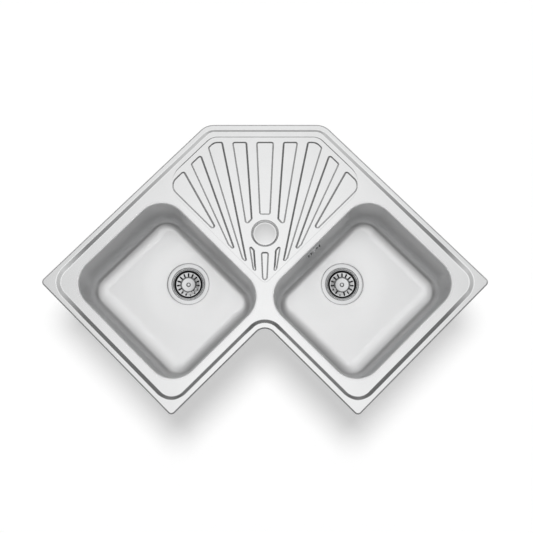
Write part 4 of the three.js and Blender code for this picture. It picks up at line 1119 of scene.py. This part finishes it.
def studio_world():
    """A soft bright canopy overhead, dim panels to the sides, and a pale horizon."""
    world = bpy.data.worlds.new("studio")
    bpy.context.scene.world = world
    world.use_nodes = True
    tree = world.node_tree
    direction = add_node(tree, "ShaderNodeTexCoord").outputs["Generated"]

    def calculated(operation, *values):
        return math_node(tree, operation, *values)

    def along(axis):
        dot = add_node(tree, "ShaderNodeVectorMath", operation="DOT_PRODUCT")
        dot.inputs[1].default_value = axis
        tree.links.new(direction, dot.inputs[0])
        return dot.outputs["Value"]

    height = along((0, 0, 1))
    up = calculated("MAXIMUM", height, 0.02)
    right, back = (calculated("ARCTANGENT", calculated("DIVIDE", along(axis), up))
                   for axis in ((1 / R2, 1 / R2, 0), (-1 / R2, 1 / R2, 0)))
    aside = calculated("ABSOLUTE", right)

    def spot(at_side, at_back, wide, deep, brightness):
        squares = []
        for angle, middle, spread in ((aside, at_side, wide), (back, at_back, deep)):
            off = calculated("SUBTRACT", angle, math.radians(middle))
            off = calculated("DIVIDE", off, math.radians(spread))
            squares.append(calculated("MULTIPLY", off, off))
        lobe = calculated("MULTIPLY", calculated("ADD", *squares), -1.0)
        return calculated("MULTIPLY", calculated("EXPONENT", lobe), brightness)

    ramp = add_node(tree, "ShaderNodeValToRGB")
    ramp.color_ramp.interpolation = "B_SPLINE"
    elements = ramp.color_ramp.elements
    while len(elements) < len(HORIZON):
        elements.new(0.5)
    for element, (position, value) in zip(elements, HORIZON):
        element.position = position
        element.color = (value, value, value, 1)
    tree.links.new(height, ramp.inputs[0])
    level = calculated("ADD", spot(*CANOPY), spot(*SIDES))
    level = calculated("ADD", level, ramp.outputs["Color"])
    white = add_node(tree, "ShaderNodeMix", data_type="RGBA", B=(1, 1, 1, 1))
    rays = add_node(tree, "ShaderNodeLightPath")
    tree.links.new(rays.outputs["Is Camera Ray"], white.inputs["Factor"])
    tree.links.new(level, white.inputs["A"])
    tree.links.new(white.outputs["Result"], tree.nodes["Background"].inputs["Color"])


def sun():
    lamp = bpy.data.lights.new("back_light", "SUN")
    lamp.energy, lamp.angle = SUN_STRENGTH, SUN_SPREAD
    obj = new_object("back_light", lamp)
    obj.rotation_mode = "QUATERNION"
    obj.rotation_quaternion = Vector(SUN_DIRECTION).to_track_quat("-Z", "Y")
    obj.visible_glossy = False


def camera():
    lens = bpy.data.cameras.new("camera")
    lens.lens, lens.sensor_width, lens.clip_end = CAMERA_LENS, CAMERA_SENSOR, 60
    obj = new_object("camera", lens)
    rx, ry, rz = (math.radians(a) for a in CAMERA_TURN)
    turn = (Matrix.Rotation(rz, 3, "Z") @ Matrix.Rotation(ry, 3, "Y")
            @ Matrix.Rotation(rx, 3, "X")).transposed()
    place = Vector(CAMERA_TARGET) + turn @ Vector((0, 0, CAMERA_DISTANCE))
    plan = Matrix.Rotation(math.pi / 4, 3, "Z")
    place = plan @ place + Vector((-ORIGIN, ORIGIN, RIM_HEIGHT))
    obj.matrix_world = Matrix.Translation(place * MM) @ (plan @ turn).to_4x4()
    bpy.context.scene.camera = obj


studio_floor()
studio_world()
sun()
camera()
bpy.context.scene.view_settings.view_transform = "Standard"
